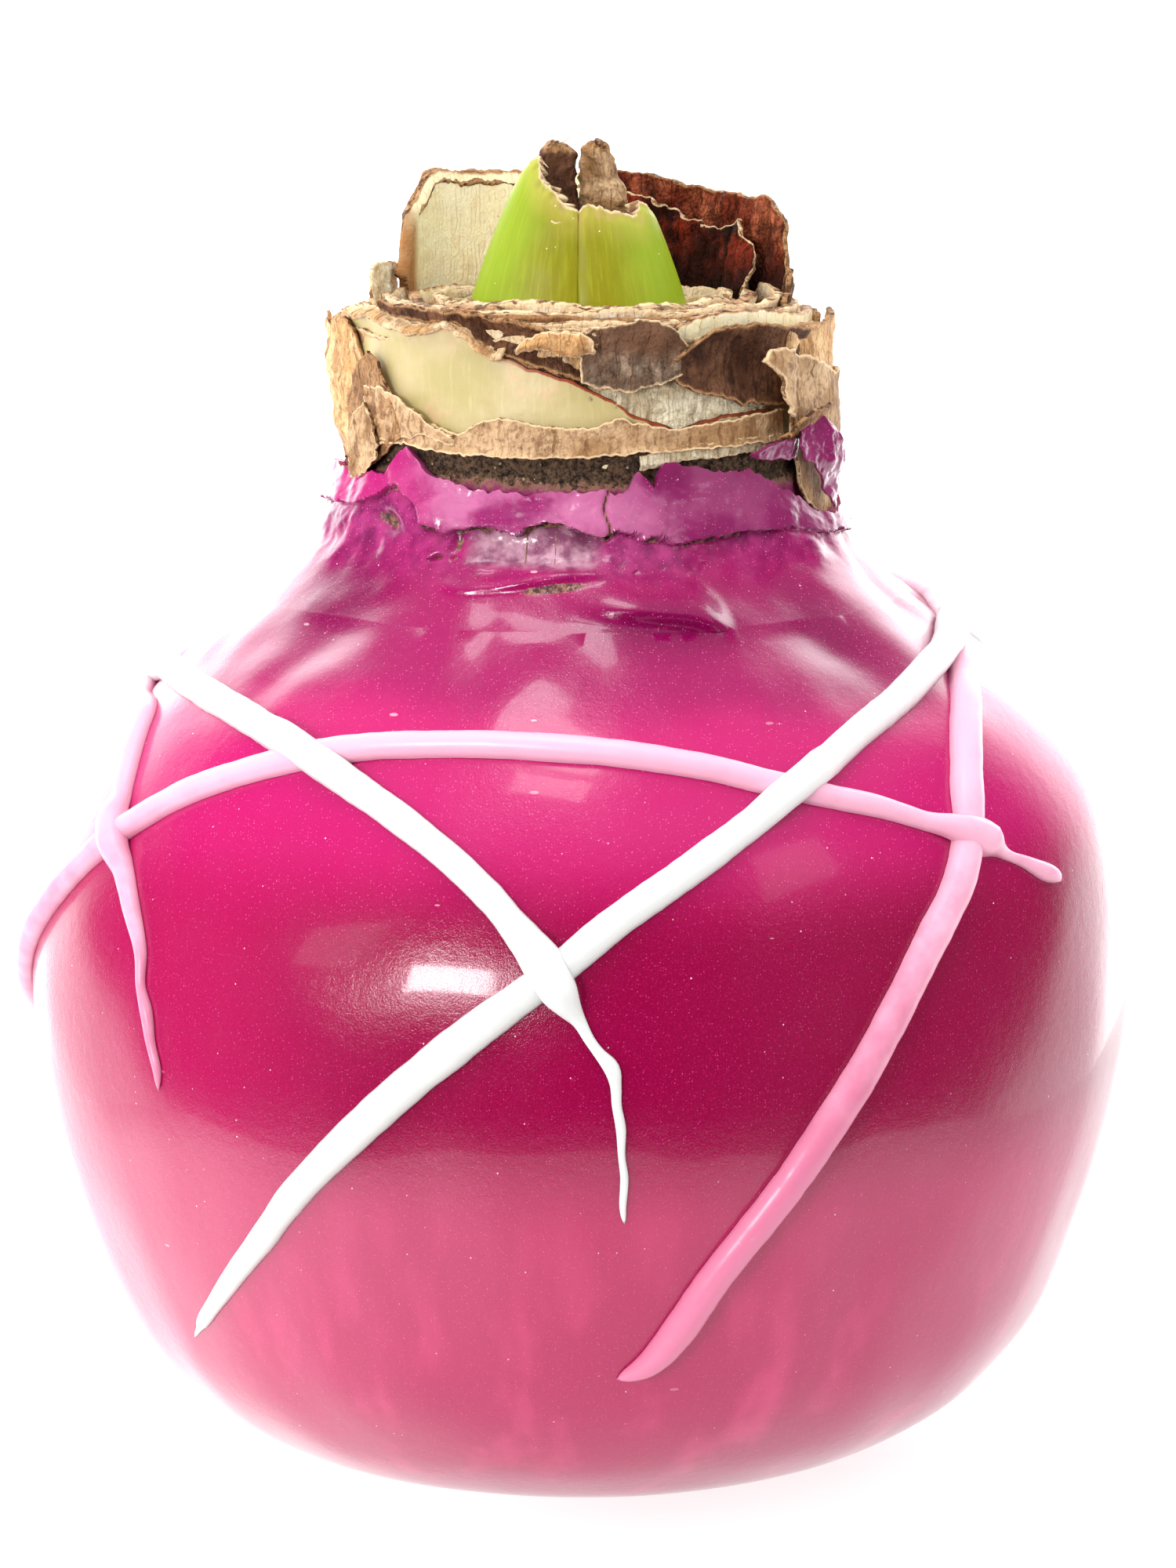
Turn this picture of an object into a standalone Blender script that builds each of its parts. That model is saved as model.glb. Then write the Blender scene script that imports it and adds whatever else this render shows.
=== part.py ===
"""A waxed amaryllis bulb: a fleshy bulb dipped in magenta wax, with piped wax lines over it,
a trimmed neck of cut scales and dry tunics, and two green leaf stubs sprouting from the middle.

Metres, +Z up. The origin is the middle of the flat spot that the wax coat stands on.
Azimuths are in degrees from the front (-Y), growing towards +X, which is the right side.
"""

import math

import bmesh
import bpy
from mathutils import Vector, noise

MM = 0.001

# Driving dimensions of the body, in millimetres.
BODY_RADIUS = 49.9
BASE_RADIUS = 19.5
NECK_RADIUS = 22.8
WAX_THICKNESS = 1.3
SEAT_GAP = 0.45
BEAD_GAP = 0.3
COLUMNS = 40

# Outer profile of the wax, radius and height, from the middle of the base up to the neck.
WAX_PROFILE = [
    (0.0, 0.0),
    (10.0, 0.0),
    (BASE_RADIUS, 0.0),
    (27.5, 1.3),
    (33.2, 4.0),
    (38.2, 8.0),
    (42.6, 14.0),
    (45.8, 22.0),
    (48.3, 31.0),
    (BODY_RADIUS, 41.0),
    (49.4, 51.0),
    (46.4, 60.0),
    (41.3, 68.0),
    (34.8, 74.0),
    (28.6, 79.0),
    (24.8, 83.0),
    (23.0, 87.0),
    (NECK_RADIUS, 92.0),
    (NECK_RADIUS, 96.0),
]

# Height of the torn wax edge round the neck, by azimuth.
WAX_EDGE = [
    (-180, 90.0),
    (-140, 91.2),
    (-110, 89.6),
    (-85, 90.3),
    (-60, 91.0),
    (-45, 90.5),
    (-25, 89.4),
    (0, 89.3),
    (12, 90.2),
    (20, 91.8),
    (31, 91.0),
    (43, 91.2),
    (53, 89.5),
    (61, 86.9),
    (72, 86.3),
    (86, 87.2),
    (100, 89.6),
    (122, 90.6),
    (150, 89.4),
    (180, 90.0),
]

# The cut scales of the neck stand as rings round the sprout: radius, width, height of the rim.
RINGS = [(19.3, 1.3, 104.2), (15.9, 1.2, 104.9), (12.6, 1.1, 105.0)]
VALLEY = 102.3
SCALE_FOOT = VALLEY + 0.3
FLOOR = 101.0
FLOOR_RADIUS = 11.3
SKIN_RADIUS = 21.05
SCALE_RADIUS = 20.1
SKIN_TOP = 93.2

# Wax lines: azimuth, height and half width of each line, in order along it.
WHITE_FALLING = [
    (4.3, 31.6, 0.35),
    (4.2, 36.1, 0.45),
    (3.6, 41.0, 0.6),
    (3.0, 44.5, 0.55),
    (2.0, 47.5, 0.8),
    (-0.5, 51.2, 2.3),
    (-4.0, 54.6, 2.1),
    (-8.0, 57.2, 1.8),
    (-15.0, 61.4, 1.75),
    (-24.0, 65.4, 1.8),
    (-36.0, 68.7, 1.9),
    (-50.0, 70.7, 1.9),
    (-65.0, 71.6, 1.9),
    (-78.0, 71.5, 1.9),
    (-90.0, 69.8, 1.85),
    (-106.0, 65.8, 1.8),
    (-125.0, 59.5, 1.8),
    (-145.0, 51.8, 1.9),
    (-162.0, 45.0, 1.9),
    (-176.0, 38.6, 1.8),
    (-190.0, 32.0, 1.5),
    (-202.0, 25.6, 1.2),
    (-209.0, 21.0, 0.4),
]
WHITE_RISING = [
    (-48.5, 16.6, 0.3),
    (-45.5, 18.6, 1.1),
    (-42.0, 21.3, 1.35),
    (-38.0, 24.9, 1.35),
    (-32.0, 30.6, 1.7),
    (-26.0, 36.5, 1.95),
    (-20.0, 41.8, 2.05),
    (-13.0, 46.3, 2.1),
    (-7.0, 50.0, 2.0),
    (-2.0, 53.4, 1.9),
    (3.5, 57.1, 1.85),
    (10.5, 60.7, 1.8),
    (18.0, 64.1, 1.8),
    (26.5, 67.3, 1.85),
    (37.5, 70.5, 1.8),
    (54.0, 73.2, 1.8),
    (70.0, 74.2, 1.8),
    (85.0, 73.4, 1.8),
    (100.0, 70.0, 1.8),
    (118.0, 63.6, 1.8),
    (137.0, 55.8, 1.9),
    (154.0, 48.0, 1.9),
    (170.0, 40.8, 1.8),
    (186.0, 33.6, 1.7),
    (200.0, 27.0, 1.2),
    (208.0, 22.2, 0.4),
]
PINK_ARC = [
    (56.0, 57.0, 0.45),
    (54.0, 58.0, 0.95),
    (50.0, 59.6, 0.7),
    (45.0, 61.6, 1.5),
    (37.0, 63.9, 0.95),
    (30.0, 65.7, 1.2),
    (22.5, 67.2, 1.35),
    (14.0, 68.8, 1.35),
    (3.0, 69.9, 1.35),
    (-8.0, 70.3, 1.35),
    (-20.0, 70.1, 1.35),
    (-32.0, 69.0, 1.35),
    (-43.0, 66.8, 1.35),
    (-53.0, 63.9, 1.35),
    (-61.0, 60.2, 1.35),
    (-68.0, 55.4, 1.35),
    (-75.0, 50.4, 1.3),
    (-83.0, 45.0, 1.3),
    (-94.0, 39.0, 1.3),
    (-110.0, 33.5, 1.25),
    (-128.0, 29.5, 1.2),
    (-143.0, 27.5, 1.0),
    (-152.0, 26.4, 0.4),
]
PINK_LOOP = [
    (4.0, 16.8, 0.4),
    (7.5, 18.4, 1.2),
    (10.5, 21.6, 1.5),
    (14.0, 26.6, 1.45),
    (19.0, 32.5, 1.45),
    (24.0, 38.5, 1.5),
    (28.0, 43.2, 1.5),
    (32.0, 48.0, 1.45),
    (37.0, 53.4, 1.45),
    (42.0, 58.0, 1.45),
    (45.2, 61.8, 1.5),
    (48.5, 65.7, 1.5),
    (55.0, 69.5, 1.4),
    (64.0, 72.3, 1.35),
    (74.0, 74.8, 1.3),
    (86.0, 77.0, 1.3),
    (101.0, 77.5, 1.3),
    (125.0, 75.6, 1.3),
    (152.0, 72.6, 1.3),
    (180.0, 71.2, 1.3),
    (208.0, 72.6, 1.3),
    (235.0, 75.4, 1.25),
    (258.0, 76.4, 1.2),
    (271.5, 74.2, 1.15),
    (283.0, 70.3, 1.1),
    (291.0, 66.0, 1.1),
    (296.0, 62.6, 1.15),
    (300.5, 59.4, 1.25),
    (306.0, 56.0, 0.9),
    (310.0, 52.2, 0.8),
    (312.0, 48.0, 0.7),
    (314.0, 44.0, 0.6),
    (315.5, 40.0, 0.3),
]
WHITE_HEIGHT = 1.5
PINK_HEIGHT = 1.2
BEAD_STEP = 2.5

WAX_PINK = ((0.62, 0.0, 0.22, 1.0), 0.28)
WAX_WHITE = ((0.92, 0.91, 0.88, 1.0), 0.35)
WAX_PALE_PINK = ((0.90, 0.42, 0.62, 1.0), 0.35)
CREAM = ((0.75, 0.66, 0.40, 1.0), 0.5)
TAN = ((0.52, 0.33, 0.17, 1.0), 0.7)
BROWN = ((0.16, 0.07, 0.035, 1.0), 0.75)
GREEN = ((0.40, 0.55, 0.06, 1.0), 0.4)


# Curves through points

def between(points, x):
    """Straight-line value at x of a list of (x, value) points."""
    if x <= points[0][0]:
        return points[0][1]
    for (x0, y0), (x1, y1) in zip(points, points[1:]):
        if x <= x1:
            return y0 + (y1 - y0) * (x - x0) / (x1 - x0)
    return points[-1][1]


def catmull_rom(p0, p1, p2, p3, t):
    """One value on the smooth curve from p1 to p2."""
    return 0.5 * (
        2 * p1
        + (p2 - p0) * t
        + (2 * p0 - 5 * p1 + 4 * p2 - p3) * t * t
        + (3 * p1 - p0 - 3 * p2 + p3) * t**3
    )


def smooth_curve(points, steps):
    """The points of a smooth curve through rows of numbers, with some steps a span."""
    ends = [points[0], *points, points[-1]]
    curve = []
    for i in range(len(points) - 1):
        for k in range(steps):
            rows = zip(*ends[i : i + 4])
            curve.append(tuple(catmull_rom(*row, k / steps) for row in rows))
    curve.append(tuple(points[-1]))
    return curve


def even_steps(curve, places, step):
    """Rows of the curve that lie evenly, about a step apart in space."""
    lengths = [0.0]
    for a, b in zip(places, places[1:]):
        lengths.append(lengths[-1] + (b - a).length)
    count = max(3, round(lengths[-1] / step))
    rows, k = [], 0
    for i in range(count + 1):
        wanted = lengths[-1] * i / count
        while k < len(lengths) - 2 and lengths[k + 1] < wanted:
            k += 1
        t = (wanted - lengths[k]) / (lengths[k + 1] - lengths[k])
        rows.append(tuple(a + (b - a) * t for a, b in zip(curve[k], curve[k + 1])))
    return rows


# The body's surface

PROFILE_STEPS = 8
PROFILE = smooth_curve(WAX_PROFILE, PROFILE_STEPS)
RADIUS_AT = sorted((z, r) for r, z in PROFILE if r >= BASE_RADIUS)


def swelling(azimuth, z):
    """How far the wax stands out from the round profile: a fuller right shoulder and soft lobes."""
    shoulder = 1.6 * math.exp(-(((z - 64) / 9) ** 2)) * math.sin(azimuth)
    waist = math.exp(-(((z - 40) / 26) ** 2))
    lobes = 0.28 * waist * math.sin(5 * azimuth + 0.6) + 0.2 * waist * math.sin(8 * azimuth)
    return shoulder + lobes


def skin(azimuth, z):
    """Point of the wax's outer surface at an azimuth in radians and a height in millimetres."""
    radius = between(RADIUS_AT, z) + swelling(azimuth, z)
    return round_point(azimuth, radius, z)


def round_point(azimuth, radius, z):
    return Vector((radius * math.sin(azimuth), -radius * math.cos(azimuth), z))


def outward(azimuth, z):
    """Normal of the wax's outer surface."""
    across = skin(azimuth + 0.02, z) - skin(azimuth - 0.02, z)
    up = skin(azimuth, z + 0.4) - skin(azimuth, max(z - 0.4, 0.0))
    return across.cross(up).normalized()


def wax_point(azimuth, row, depth):
    """Point under the wax's surface, on a row of the profile, at a depth along the profile's normal."""
    before, after = PROFILE[max(row - 1, 0)], PROFILE[min(row + 1, len(PROFILE) - 1)]
    dr, dz = after[0] - before[0], after[1] - before[1]
    length = math.hypot(dr, dz)
    radius, z = PROFILE[row]
    radius += swelling(azimuth, z) * min(1.0, radius / BODY_RADIUS)
    return round_point(azimuth, max(0.0, radius - depth * dz / length), z + depth * dr / length)


# Making meshes

def add_object(name, mesh, material, home):
    part = bpy.data.objects.new(name, mesh)
    mesh.materials.append(material)
    home.objects.link(part)
    return part


def grid_surface(name, columns, rows, place, material, home, closed=True):
    """A grid whose corners are moved by place(u, v), both from 0 to 1, with edges that meet merged."""
    bm = bmesh.new()
    bmesh.ops.create_grid(bm, x_segments=columns, y_segments=rows, size=0.5)
    for vertex in bm.verts:
        vertex.co = place(vertex.co.x + 0.5, vertex.co.y + 0.5) * MM
    bmesh.ops.remove_doubles(bm, verts=bm.verts, dist=1e-6)
    if closed:
        bmesh.ops.recalc_face_normals(bm, faces=bm.faces)
    mesh = bpy.data.meshes.new(name)
    bm.to_mesh(mesh)
    bm.free()
    mesh.shade_smooth()
    mesh.set_sharp_from_angle(angle=math.radians(40))
    return add_object(name, mesh, material, home)


def thicken(part, thickness, offset):
    solidify = part.modifiers.new("thickness", "SOLIDIFY")
    solidify.thickness = thickness * MM
    solidify.offset = offset
    solidify.use_even_offset = True
    return part


def finish(name, look):
    colour, roughness = look
    material = bpy.data.materials.new(name)
    material.use_nodes = True
    shader = material.node_tree.nodes["Principled BSDF"]
    shader.inputs["Base Color"].default_value = colour
    shader.inputs["Roughness"].default_value = roughness
    material.diffuse_color = colour
    return material


# The bulb and its wax coat

def rows_below(top):
    """Rows of the profile from the base's middle up to a height, one for each of its points."""
    return [i for i, (r, z) in enumerate(PROFILE) if z <= top and i % PROFILE_STEPS == 0]


def wax_coat(material, home):
    """The dipped coat: a shell over the whole body that ends in a torn edge at the neck."""
    rows = rows_below(83.5)
    edge_rows = 3
    last_radius, last_z = PROFILE[rows[-1]]

    def place(u, v):
        azimuth = 2 * math.pi * (u - 0.5)
        k = round(v * (len(rows) - 1 + edge_rows))
        if k < len(rows):
            return wax_point(azimuth, rows[k], 0.0)
        share = (k - len(rows) + 1) / edge_rows
        edge = between(WAX_EDGE, math.degrees(azimuth))
        edge += 0.5 * noise.noise(Vector((math.sin(azimuth), math.cos(azimuth), 0.3)) * 6)
        z = last_z + (edge - last_z) * share
        return round_point(azimuth, between(RADIUS_AT, z), z)

    coat = grid_surface("wax_coat", COLUMNS, len(rows) - 1 + edge_rows, place, material, home)
    return thicken(coat, WAX_THICKNESS, -1.0)


def neck_top_rows():
    """Radius and height of the cut neck from the outside in, ring by ring."""
    rows = []
    for radius, width, rim in RINGS:
        rows += [
            (radius + width / 2, VALLEY),
            (radius + width / 2 - 0.05, rim),
            (radius - width / 2 + 0.05, rim - 0.15),
            (radius - width / 2, VALLEY),
        ]
    rows[0] = (SCALE_RADIUS, RINGS[0][2] - 0.7)
    return rows + [(FLOOR_RADIUS, FLOOR), (6.0, FLOOR), (0.0, FLOOR)]


def bulb(material, home):
    """The fleshy body under the wax, with its neck of cut scales as rings round the sprout."""
    body_rows = rows_below(80.0)
    neck_rows = [
        (SKIN_RADIUS + 1.2, 84.0),
        (SKIN_RADIUS + 0.1, 88.0),
        (SKIN_RADIUS, SKIN_TOP),
        (SCALE_RADIUS, SKIN_TOP + 0.5),
        (SCALE_RADIUS, 98.0),
    ]
    upper = neck_rows + neck_top_rows()

    def place(u, v):
        azimuth = 2 * math.pi * (u - 0.5)
        k = round(v * (len(body_rows) + len(upper) - 1))
        if k < len(body_rows):
            return wax_point(azimuth, body_rows[k], WAX_THICKNESS + SEAT_GAP)
        radius, z = upper[k - len(body_rows)]
        ring = k - len(body_rows) >= len(neck_rows)
        if ring and VALLEY < z:
            z += 0.5 * noise.noise(Vector((3 * math.sin(azimuth), 3 * math.cos(azimuth), radius)))
        return round_point(azimuth, radius, z)

    return grid_surface("bulb", COLUMNS, len(body_rows) + len(upper) - 1, place, material, home)


# Scales and tunics of the neck

def neck_sheet(name, start, end, bottom, top, radius, thickness, columns, rows, material, home):
    """A scale or dry tunic on the neck: a sheet between two azimuths and two torn outlines.

    bottom and top are lists of (azimuth, height); radius(azimuth, share of height) is its inner face.
    """

    def place(u, v):
        degrees = start + (end - start) * u
        low, high = between(bottom, degrees), between(top, degrees)
        return round_point(math.radians(degrees), radius(degrees, v), low + (high - low) * v)

    return thicken(grid_surface(name, columns, rows, place, material, home, False), thickness, 1.0)


def level(height):
    return [(-360, height), (360, height)]


def neck_sheets(cream, tan, brown, pink, home):
    under, over, flying = SCALE_RADIUS + 0.4, SCALE_RADIUS + 1.4, SCALE_RADIUS + 2.4
    front_top = [
        (-80, 103.6),
        (-62, 103.0),
        (-50, 103.2),
        (-38, 101.4),
        (-26, 100.2),
        (-10, 98.6),
        (8, 96.6),
        (22, 95.6),
        (36, 96.4),
    ]
    neck_sheet(
        "front_scale", -80, 36, level(94.2), front_top,
        lambda a, v: under, 0.7, 22, 5, cream, home,
    )
    back_top = [(88, 103.4), (120, 102.2), (150, 103.0), (190, 101.6), (230, 103.2), (276, 103.8)]
    neck_sheet(
        "back_tunic", 90, 276, level(94.2), back_top,
        lambda a, v: under, 0.7, 24, 4, tan, home,
    )
    veined_bottom = [(-30, 101.6), (-10, 100.0), (8, 97.8), (26, 97.0)]
    veined_top = [(-30, 103.4), (-14, 103.2), (6, 103.6), (26, 103.2)]
    neck_sheet(
        "veined_tunic", -30, 26, veined_bottom, veined_top,
        lambda a, v: over - 0.9 + 0.35 * math.sin(math.radians(a) * 9) * v, 0.7, 14, 4, brown, home,
    )
    right_bottom = [(30, 97.2), (42, 94.4), (58, 91.8), (66, 88.0), (88, 88.6)]
    right_top = [(30, 99.6), (40, 102.6), (54, 102.2), (70, 103.0), (88, 103.6)]
    neck_sheet(
        "right_tunic", 30, 88, right_bottom, right_top,
        lambda a, v: over + 0.25 + 1.6 * max(0.0, (44 - a) / 14) ** 2, 0.7, 12, 6, tan, home,
    )
    band_top = [(-62, 95.6), (-44, 95.2), (-20, 96.4), (6, 96.0), (25, 95.2)]
    neck_sheet(
        "paper_band", -62, 25, level(93.5), band_top,
        lambda a, v: over, 0.65, 16, 2, tan, home,
    )
    flap_bottom = [(-88, 91.6), (-70, 92.6)]
    flap_top = [(-88, 101.4), (-82, 103.2), (-76, 101.0), (-70, 98.6)]
    neck_sheet(
        "left_flap", -88, -68, flap_bottom, flap_top,
        lambda a, v: flying - 0.4 + 0.7 * v * (1 - v) * 4 * max(0.0, (-70 - a) / 18), 0.65, 7, 6, tan, home,
    )
    flake_bottom = [(44, 91.6), (52, 91.9), (57, 91.0)]
    flake_top = [(44, 92.6), (50, 93.9), (57, 95.2)]
    neck_sheet(
        "wax_flake", 44, 57, flake_bottom, flake_top,
        lambda a, v: flying + 0.5 + 1.2 * v * v * max(0.0, (a - 44) / 13), 0.65, 6, 4, pink, home,
    )


def standing_scales(cream, brown, tan, home):
    """Scales that were cut higher and stand in the valleys between the rings."""
    outer, inner = 17.0, 13.65
    cream_top = [(-182, 114.3), (-130, 114.8), (-119, 114.2), (-113, 108.0)]
    neck_sheet(
        "back_scale", -182, -113, level(SCALE_FOOT), cream_top,
        lambda a, v: outer + 0.05, 1.1, 14, 5, cream, home,
    )
    outer_top = [(99, 107.0), (104, 111.4), (112, 112.0), (140, 112.9), (160, 114.2), (174, 114.6)]
    neck_sheet(
        "red_scale_outer", 99, 174, level(SCALE_FOOT), outer_top,
        lambda a, v: outer + 0.2 + 0.5 * v, 0.9, 15, 5, brown, home,
    )
    inner_top = [(112, 107.4), (126, 109.0), (146, 110.6), (172, 112.8)]
    neck_sheet(
        "red_scale_inner", 112, 172, level(SCALE_FOOT), inner_top,
        lambda a, v: inner + 1.4 * v**3 + 0.2 * math.sin(math.radians(a) * 14) * v, 0.8, 14, 6, brown, home,
    )
    neck_sheet(
        "left_curl", -111, -88, level(SCALE_FOOT), [(-111, 106.6), (-98, 106.9), (-88, 105.2)],
        lambda a, v: outer + 0.1 + 0.3 * v, 0.8, 6, 3, tan, home,
    )
    neck_sheet(
        "right_curl", 76, 96, level(SCALE_FOOT), [(76, 105.0), (82, 106.8), (88, 105.6), (96, 106.2)],
        lambda a, v: outer + 0.1 + 0.3 * v, 0.8, 6, 3, brown, home,
    )


# The sprout

SPROUT_X = -0.2
SPROUT_BASE = FLOOR + 0.3
SPROUT_TOP = 117.6
SHEATH_WALL = 1.3


def sheath_radii(z):
    """Half width and half depth of the sprout at a height, outside the leaves."""
    share = (z - SPROUT_BASE) / (SPROUT_TOP - SPROUT_BASE)
    half_width = 10.6 - 4.2 * share - 2.0 * share**2
    return half_width, half_width * 0.66


def leaf(name, start, end, top, material, home):
    """One leaf stub: a fleshy sheet wrapped round its half of the sprout and cut off aslant."""

    def place(u, v):
        degrees = start + (end - start) * u
        azimuth = math.radians(degrees)
        z = SPROUT_BASE + (between(top, degrees) - SPROUT_BASE) * v
        wide, deep = sheath_radii(z)
        lateral = 0.25 * math.exp(-((degrees / 9) ** 2))
        x = SPROUT_X + (wide - SHEATH_WALL) * math.sin(azimuth)
        y = -(deep - SHEATH_WALL - lateral) * math.cos(azimuth)
        return Vector((x, y, z))

    part = grid_surface(name, 14, 8, place, material, home, False)
    return thicken(part, SHEATH_WALL, 1.0)


def stub(name, centre, half_width, half_depth, top, lean, material, home):
    """A dried stalk stub inside the leaves: a flattened round bar with a skewed, rounded end."""

    def place(u, v):
        azimuth = 2 * math.pi * u
        rows = [(0.0, 0.0), (1.0, 0.0), (1.0, 0.4), (0.95, 0.7), (0.9, 0.86), (0.6, 0.97), (0.0, 1.0)]
        size, share = rows[round(v * (len(rows) - 1))]
        z = SPROUT_BASE + 0.3 + (top - SPROUT_BASE - 0.3) * share
        shift = Vector(lean) * share
        crease = 1 - 0.18 * math.cos(3 * azimuth)
        return Vector((
            centre[0] + shift.x + half_width * size * crease * math.cos(azimuth),
            centre[1] + shift.y + half_depth * size * math.sin(azimuth),
            z + 0.5 * size * math.cos(azimuth + 1.0) * share,
        ))

    return grid_surface(name, 12, 6, place, material, home)


def sprout(green, brown, tan, home):
    left_top = [(-152, 113.0), (-105, 115.6), (-62, SPROUT_TOP), (-40, 116.0), (-20, 113.9), (-2, 112.7)]
    right_top = [(2, 112.6), (30, 112.4), (62, 113.3), (105, 112.4), (152, 111.6)]
    leaf("leaf_left", -152, -2, left_top, green, home)
    leaf("leaf_right", 2, 152, right_top, green, home)
    stub("stalk_stub_dark", (-1.4, 0.4), 1.3, 1.8, 118.7, (-0.6, 0.5, 0.0), brown, home)
    stub("stalk_stub_tan", (1.9, 0.5), 1.4, 1.8, 118.8, (0.7, 0.5, 0.0), tan, home)


# Piped wax lines

class Bead:
    """A piped line on the body: its places, normals, side directions and half widths."""

    def __init__(self, points, height, step):
        curve = smooth_curve([(math.radians(a), z, w) for a, z, w in points], 10)
        places = [skin(a, z) for a, z, w in curve]
        rows = even_steps(curve, places, step)
        self.height = height
        self.widths = [w for a, z, w in rows]
        self.places = [skin(a, z) for a, z, w in rows]
        self.normals = [outward(a, z) for a, z, w in rows]
        self.sides = []
        for i, normal in enumerate(self.normals):
            ahead = self.places[min(i + 1, len(rows) - 1)] - self.places[max(i - 1, 0)]
            self.sides.append(normal.cross(ahead).normalized())


def lift_over(point, lower, share, clear):
    """How much a bead has to rise at a point to pass over the beads under it."""
    lift = 0.0
    for bead in lower:
        for place, width in zip(bead.places, bead.widths):
            away = (point - place).length - width - 0.9
            ramp = min(1.0, max(0.0, 1 - away / 2.6))
            lift = max(lift, (bead.height * share + clear) * ramp * ramp * (3 - 2 * ramp))
    return lift


def bead_solid(bead, lower, share, clear, name, material, home):
    """A bead as a closed body with a flat underside, tapering to a point at both ends."""
    section = [(-1.0, 0.0), (-0.72, 0.7), (-0.26, 1.0), (0.26, 1.0), (0.72, 0.7), (1.0, 0.0)]
    last = len(bead.places) - 1
    lifts = [lift_over(place, lower, share, clear) for place in bead.places]

    def place(u, v):
        i = round(v * last)
        side, rise = section[round(u * len(section)) % len(section)]
        end = 0.0 if i in (0, last) else 1.0
        width = bead.widths[i] * end
        height = min(bead.height, bead.widths[i] * 0.9) * end
        on_skin = bead.places[i] + bead.sides[i] * side * width
        azimuth = math.atan2(on_skin.x, -on_skin.y)
        on_skin = skin(azimuth, on_skin.z)
        return on_skin + bead.normals[i] * (BEAD_GAP + lifts[i] + rise * height)

    return grid_surface(name, len(section), last, place, material, home)


def join(part, others, home):
    """Fuses the other beads of one colour into the first, then removes them."""
    gathered = bpy.data.collections.new("joined")
    bpy.context.scene.collection.children.link(gathered)
    for other in others:
        home.objects.unlink(other)
        gathered.objects.link(other)
    union = part.modifiers.new("union", "BOOLEAN")
    union.operation = "UNION"
    union.operand_type = "COLLECTION"
    union.collection = gathered
    union.solver = "EXACT"
    bpy.context.view_layer.update()
    graph = bpy.context.evaluated_depsgraph_get()
    fused = bpy.data.meshes.new_from_object(part.evaluated_get(graph))
    part.modifiers.clear()
    part.data = fused
    for other in others:
        bpy.data.objects.remove(other)
    bpy.data.collections.remove(gathered)


def wax_lines(white, pink, home):
    """Pink lines lie on the coat, and white ones cross over them."""
    arc = Bead(PINK_ARC, PINK_HEIGHT, BEAD_STEP)
    loop = Bead(PINK_LOOP, PINK_HEIGHT, BEAD_STEP)
    falling = Bead(WHITE_FALLING, WHITE_HEIGHT, BEAD_STEP)
    rising = Bead(WHITE_RISING, WHITE_HEIGHT, BEAD_STEP)
    pink_part = bead_solid(arc, [], 0.0, 0.0, "pink_lines", pink, home)
    over_pink = bead_solid(loop, [arc], 0.5, 0.0, "pink_loop", pink, home)
    join(pink_part, [over_pink], home)
    # The pink loop is half a bead higher where it crosses the arc, so white clears both.
    for bead in (arc, loop):
        bead.height = PINK_HEIGHT + 0.1
    white_part = bead_solid(rising, [arc, loop], 1.0, 0.35, "white_lines", white, home)
    over_white = bead_solid(
        falling, [arc, loop], 1.0, 0.35, "white_falling", white, home
    )
    join(white_part, [over_white], home)


def main():
    for old in list(bpy.data.objects):
        bpy.data.objects.remove(old)
    home = bpy.data.collections.new("amaryllis_bulb")
    bpy.context.scene.collection.children.link(home)
    wax = finish("magenta_wax", WAX_PINK)
    cream, tan = finish("cream_scale", CREAM), finish("papery_tunic", TAN)
    brown, green = finish("dried_scale", BROWN), finish("leaf_green", GREEN)
    white, pink = finish("white_wax", WAX_WHITE), finish("pale_pink_wax", WAX_PALE_PINK)
    bulb(cream, home)
    wax_coat(wax, home)
    neck_sheets(cream, tan, brown, wax, home)
    standing_scales(cream, brown, tan, home)
    sprout(green, brown, tan, home)
    wax_lines(white, pink, home)


main()
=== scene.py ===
"""The finished looks of a waxed amaryllis bulb.

Azimuths are degrees from the front (-Y), growing towards the viewer's right (+X). Lengths in the
tables are millimetres; MM turns them into Blender's metres.
"""

import bisect
import math
import random

import bmesh
import bpy
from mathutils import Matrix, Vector, noise


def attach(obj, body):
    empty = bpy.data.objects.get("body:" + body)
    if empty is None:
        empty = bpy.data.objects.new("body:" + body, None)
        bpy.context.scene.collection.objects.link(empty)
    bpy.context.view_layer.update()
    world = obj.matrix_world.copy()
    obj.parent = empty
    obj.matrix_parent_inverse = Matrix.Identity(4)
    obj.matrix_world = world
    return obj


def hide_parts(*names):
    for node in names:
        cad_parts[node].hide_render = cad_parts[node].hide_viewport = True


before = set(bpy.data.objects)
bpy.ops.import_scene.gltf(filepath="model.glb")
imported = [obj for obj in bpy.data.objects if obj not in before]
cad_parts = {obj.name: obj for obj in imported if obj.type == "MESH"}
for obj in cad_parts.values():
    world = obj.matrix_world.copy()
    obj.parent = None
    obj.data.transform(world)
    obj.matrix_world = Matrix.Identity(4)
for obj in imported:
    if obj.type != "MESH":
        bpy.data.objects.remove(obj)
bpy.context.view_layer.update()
MM = 0.001

# The view: a long lens, ten degrees above level.
LENS = 130.86
SENSOR_WIDTH = 36.0
CAMERA_AT = (0.00068, -0.5121, 0.1507)
CAMERA_TILT = 80.0

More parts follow.
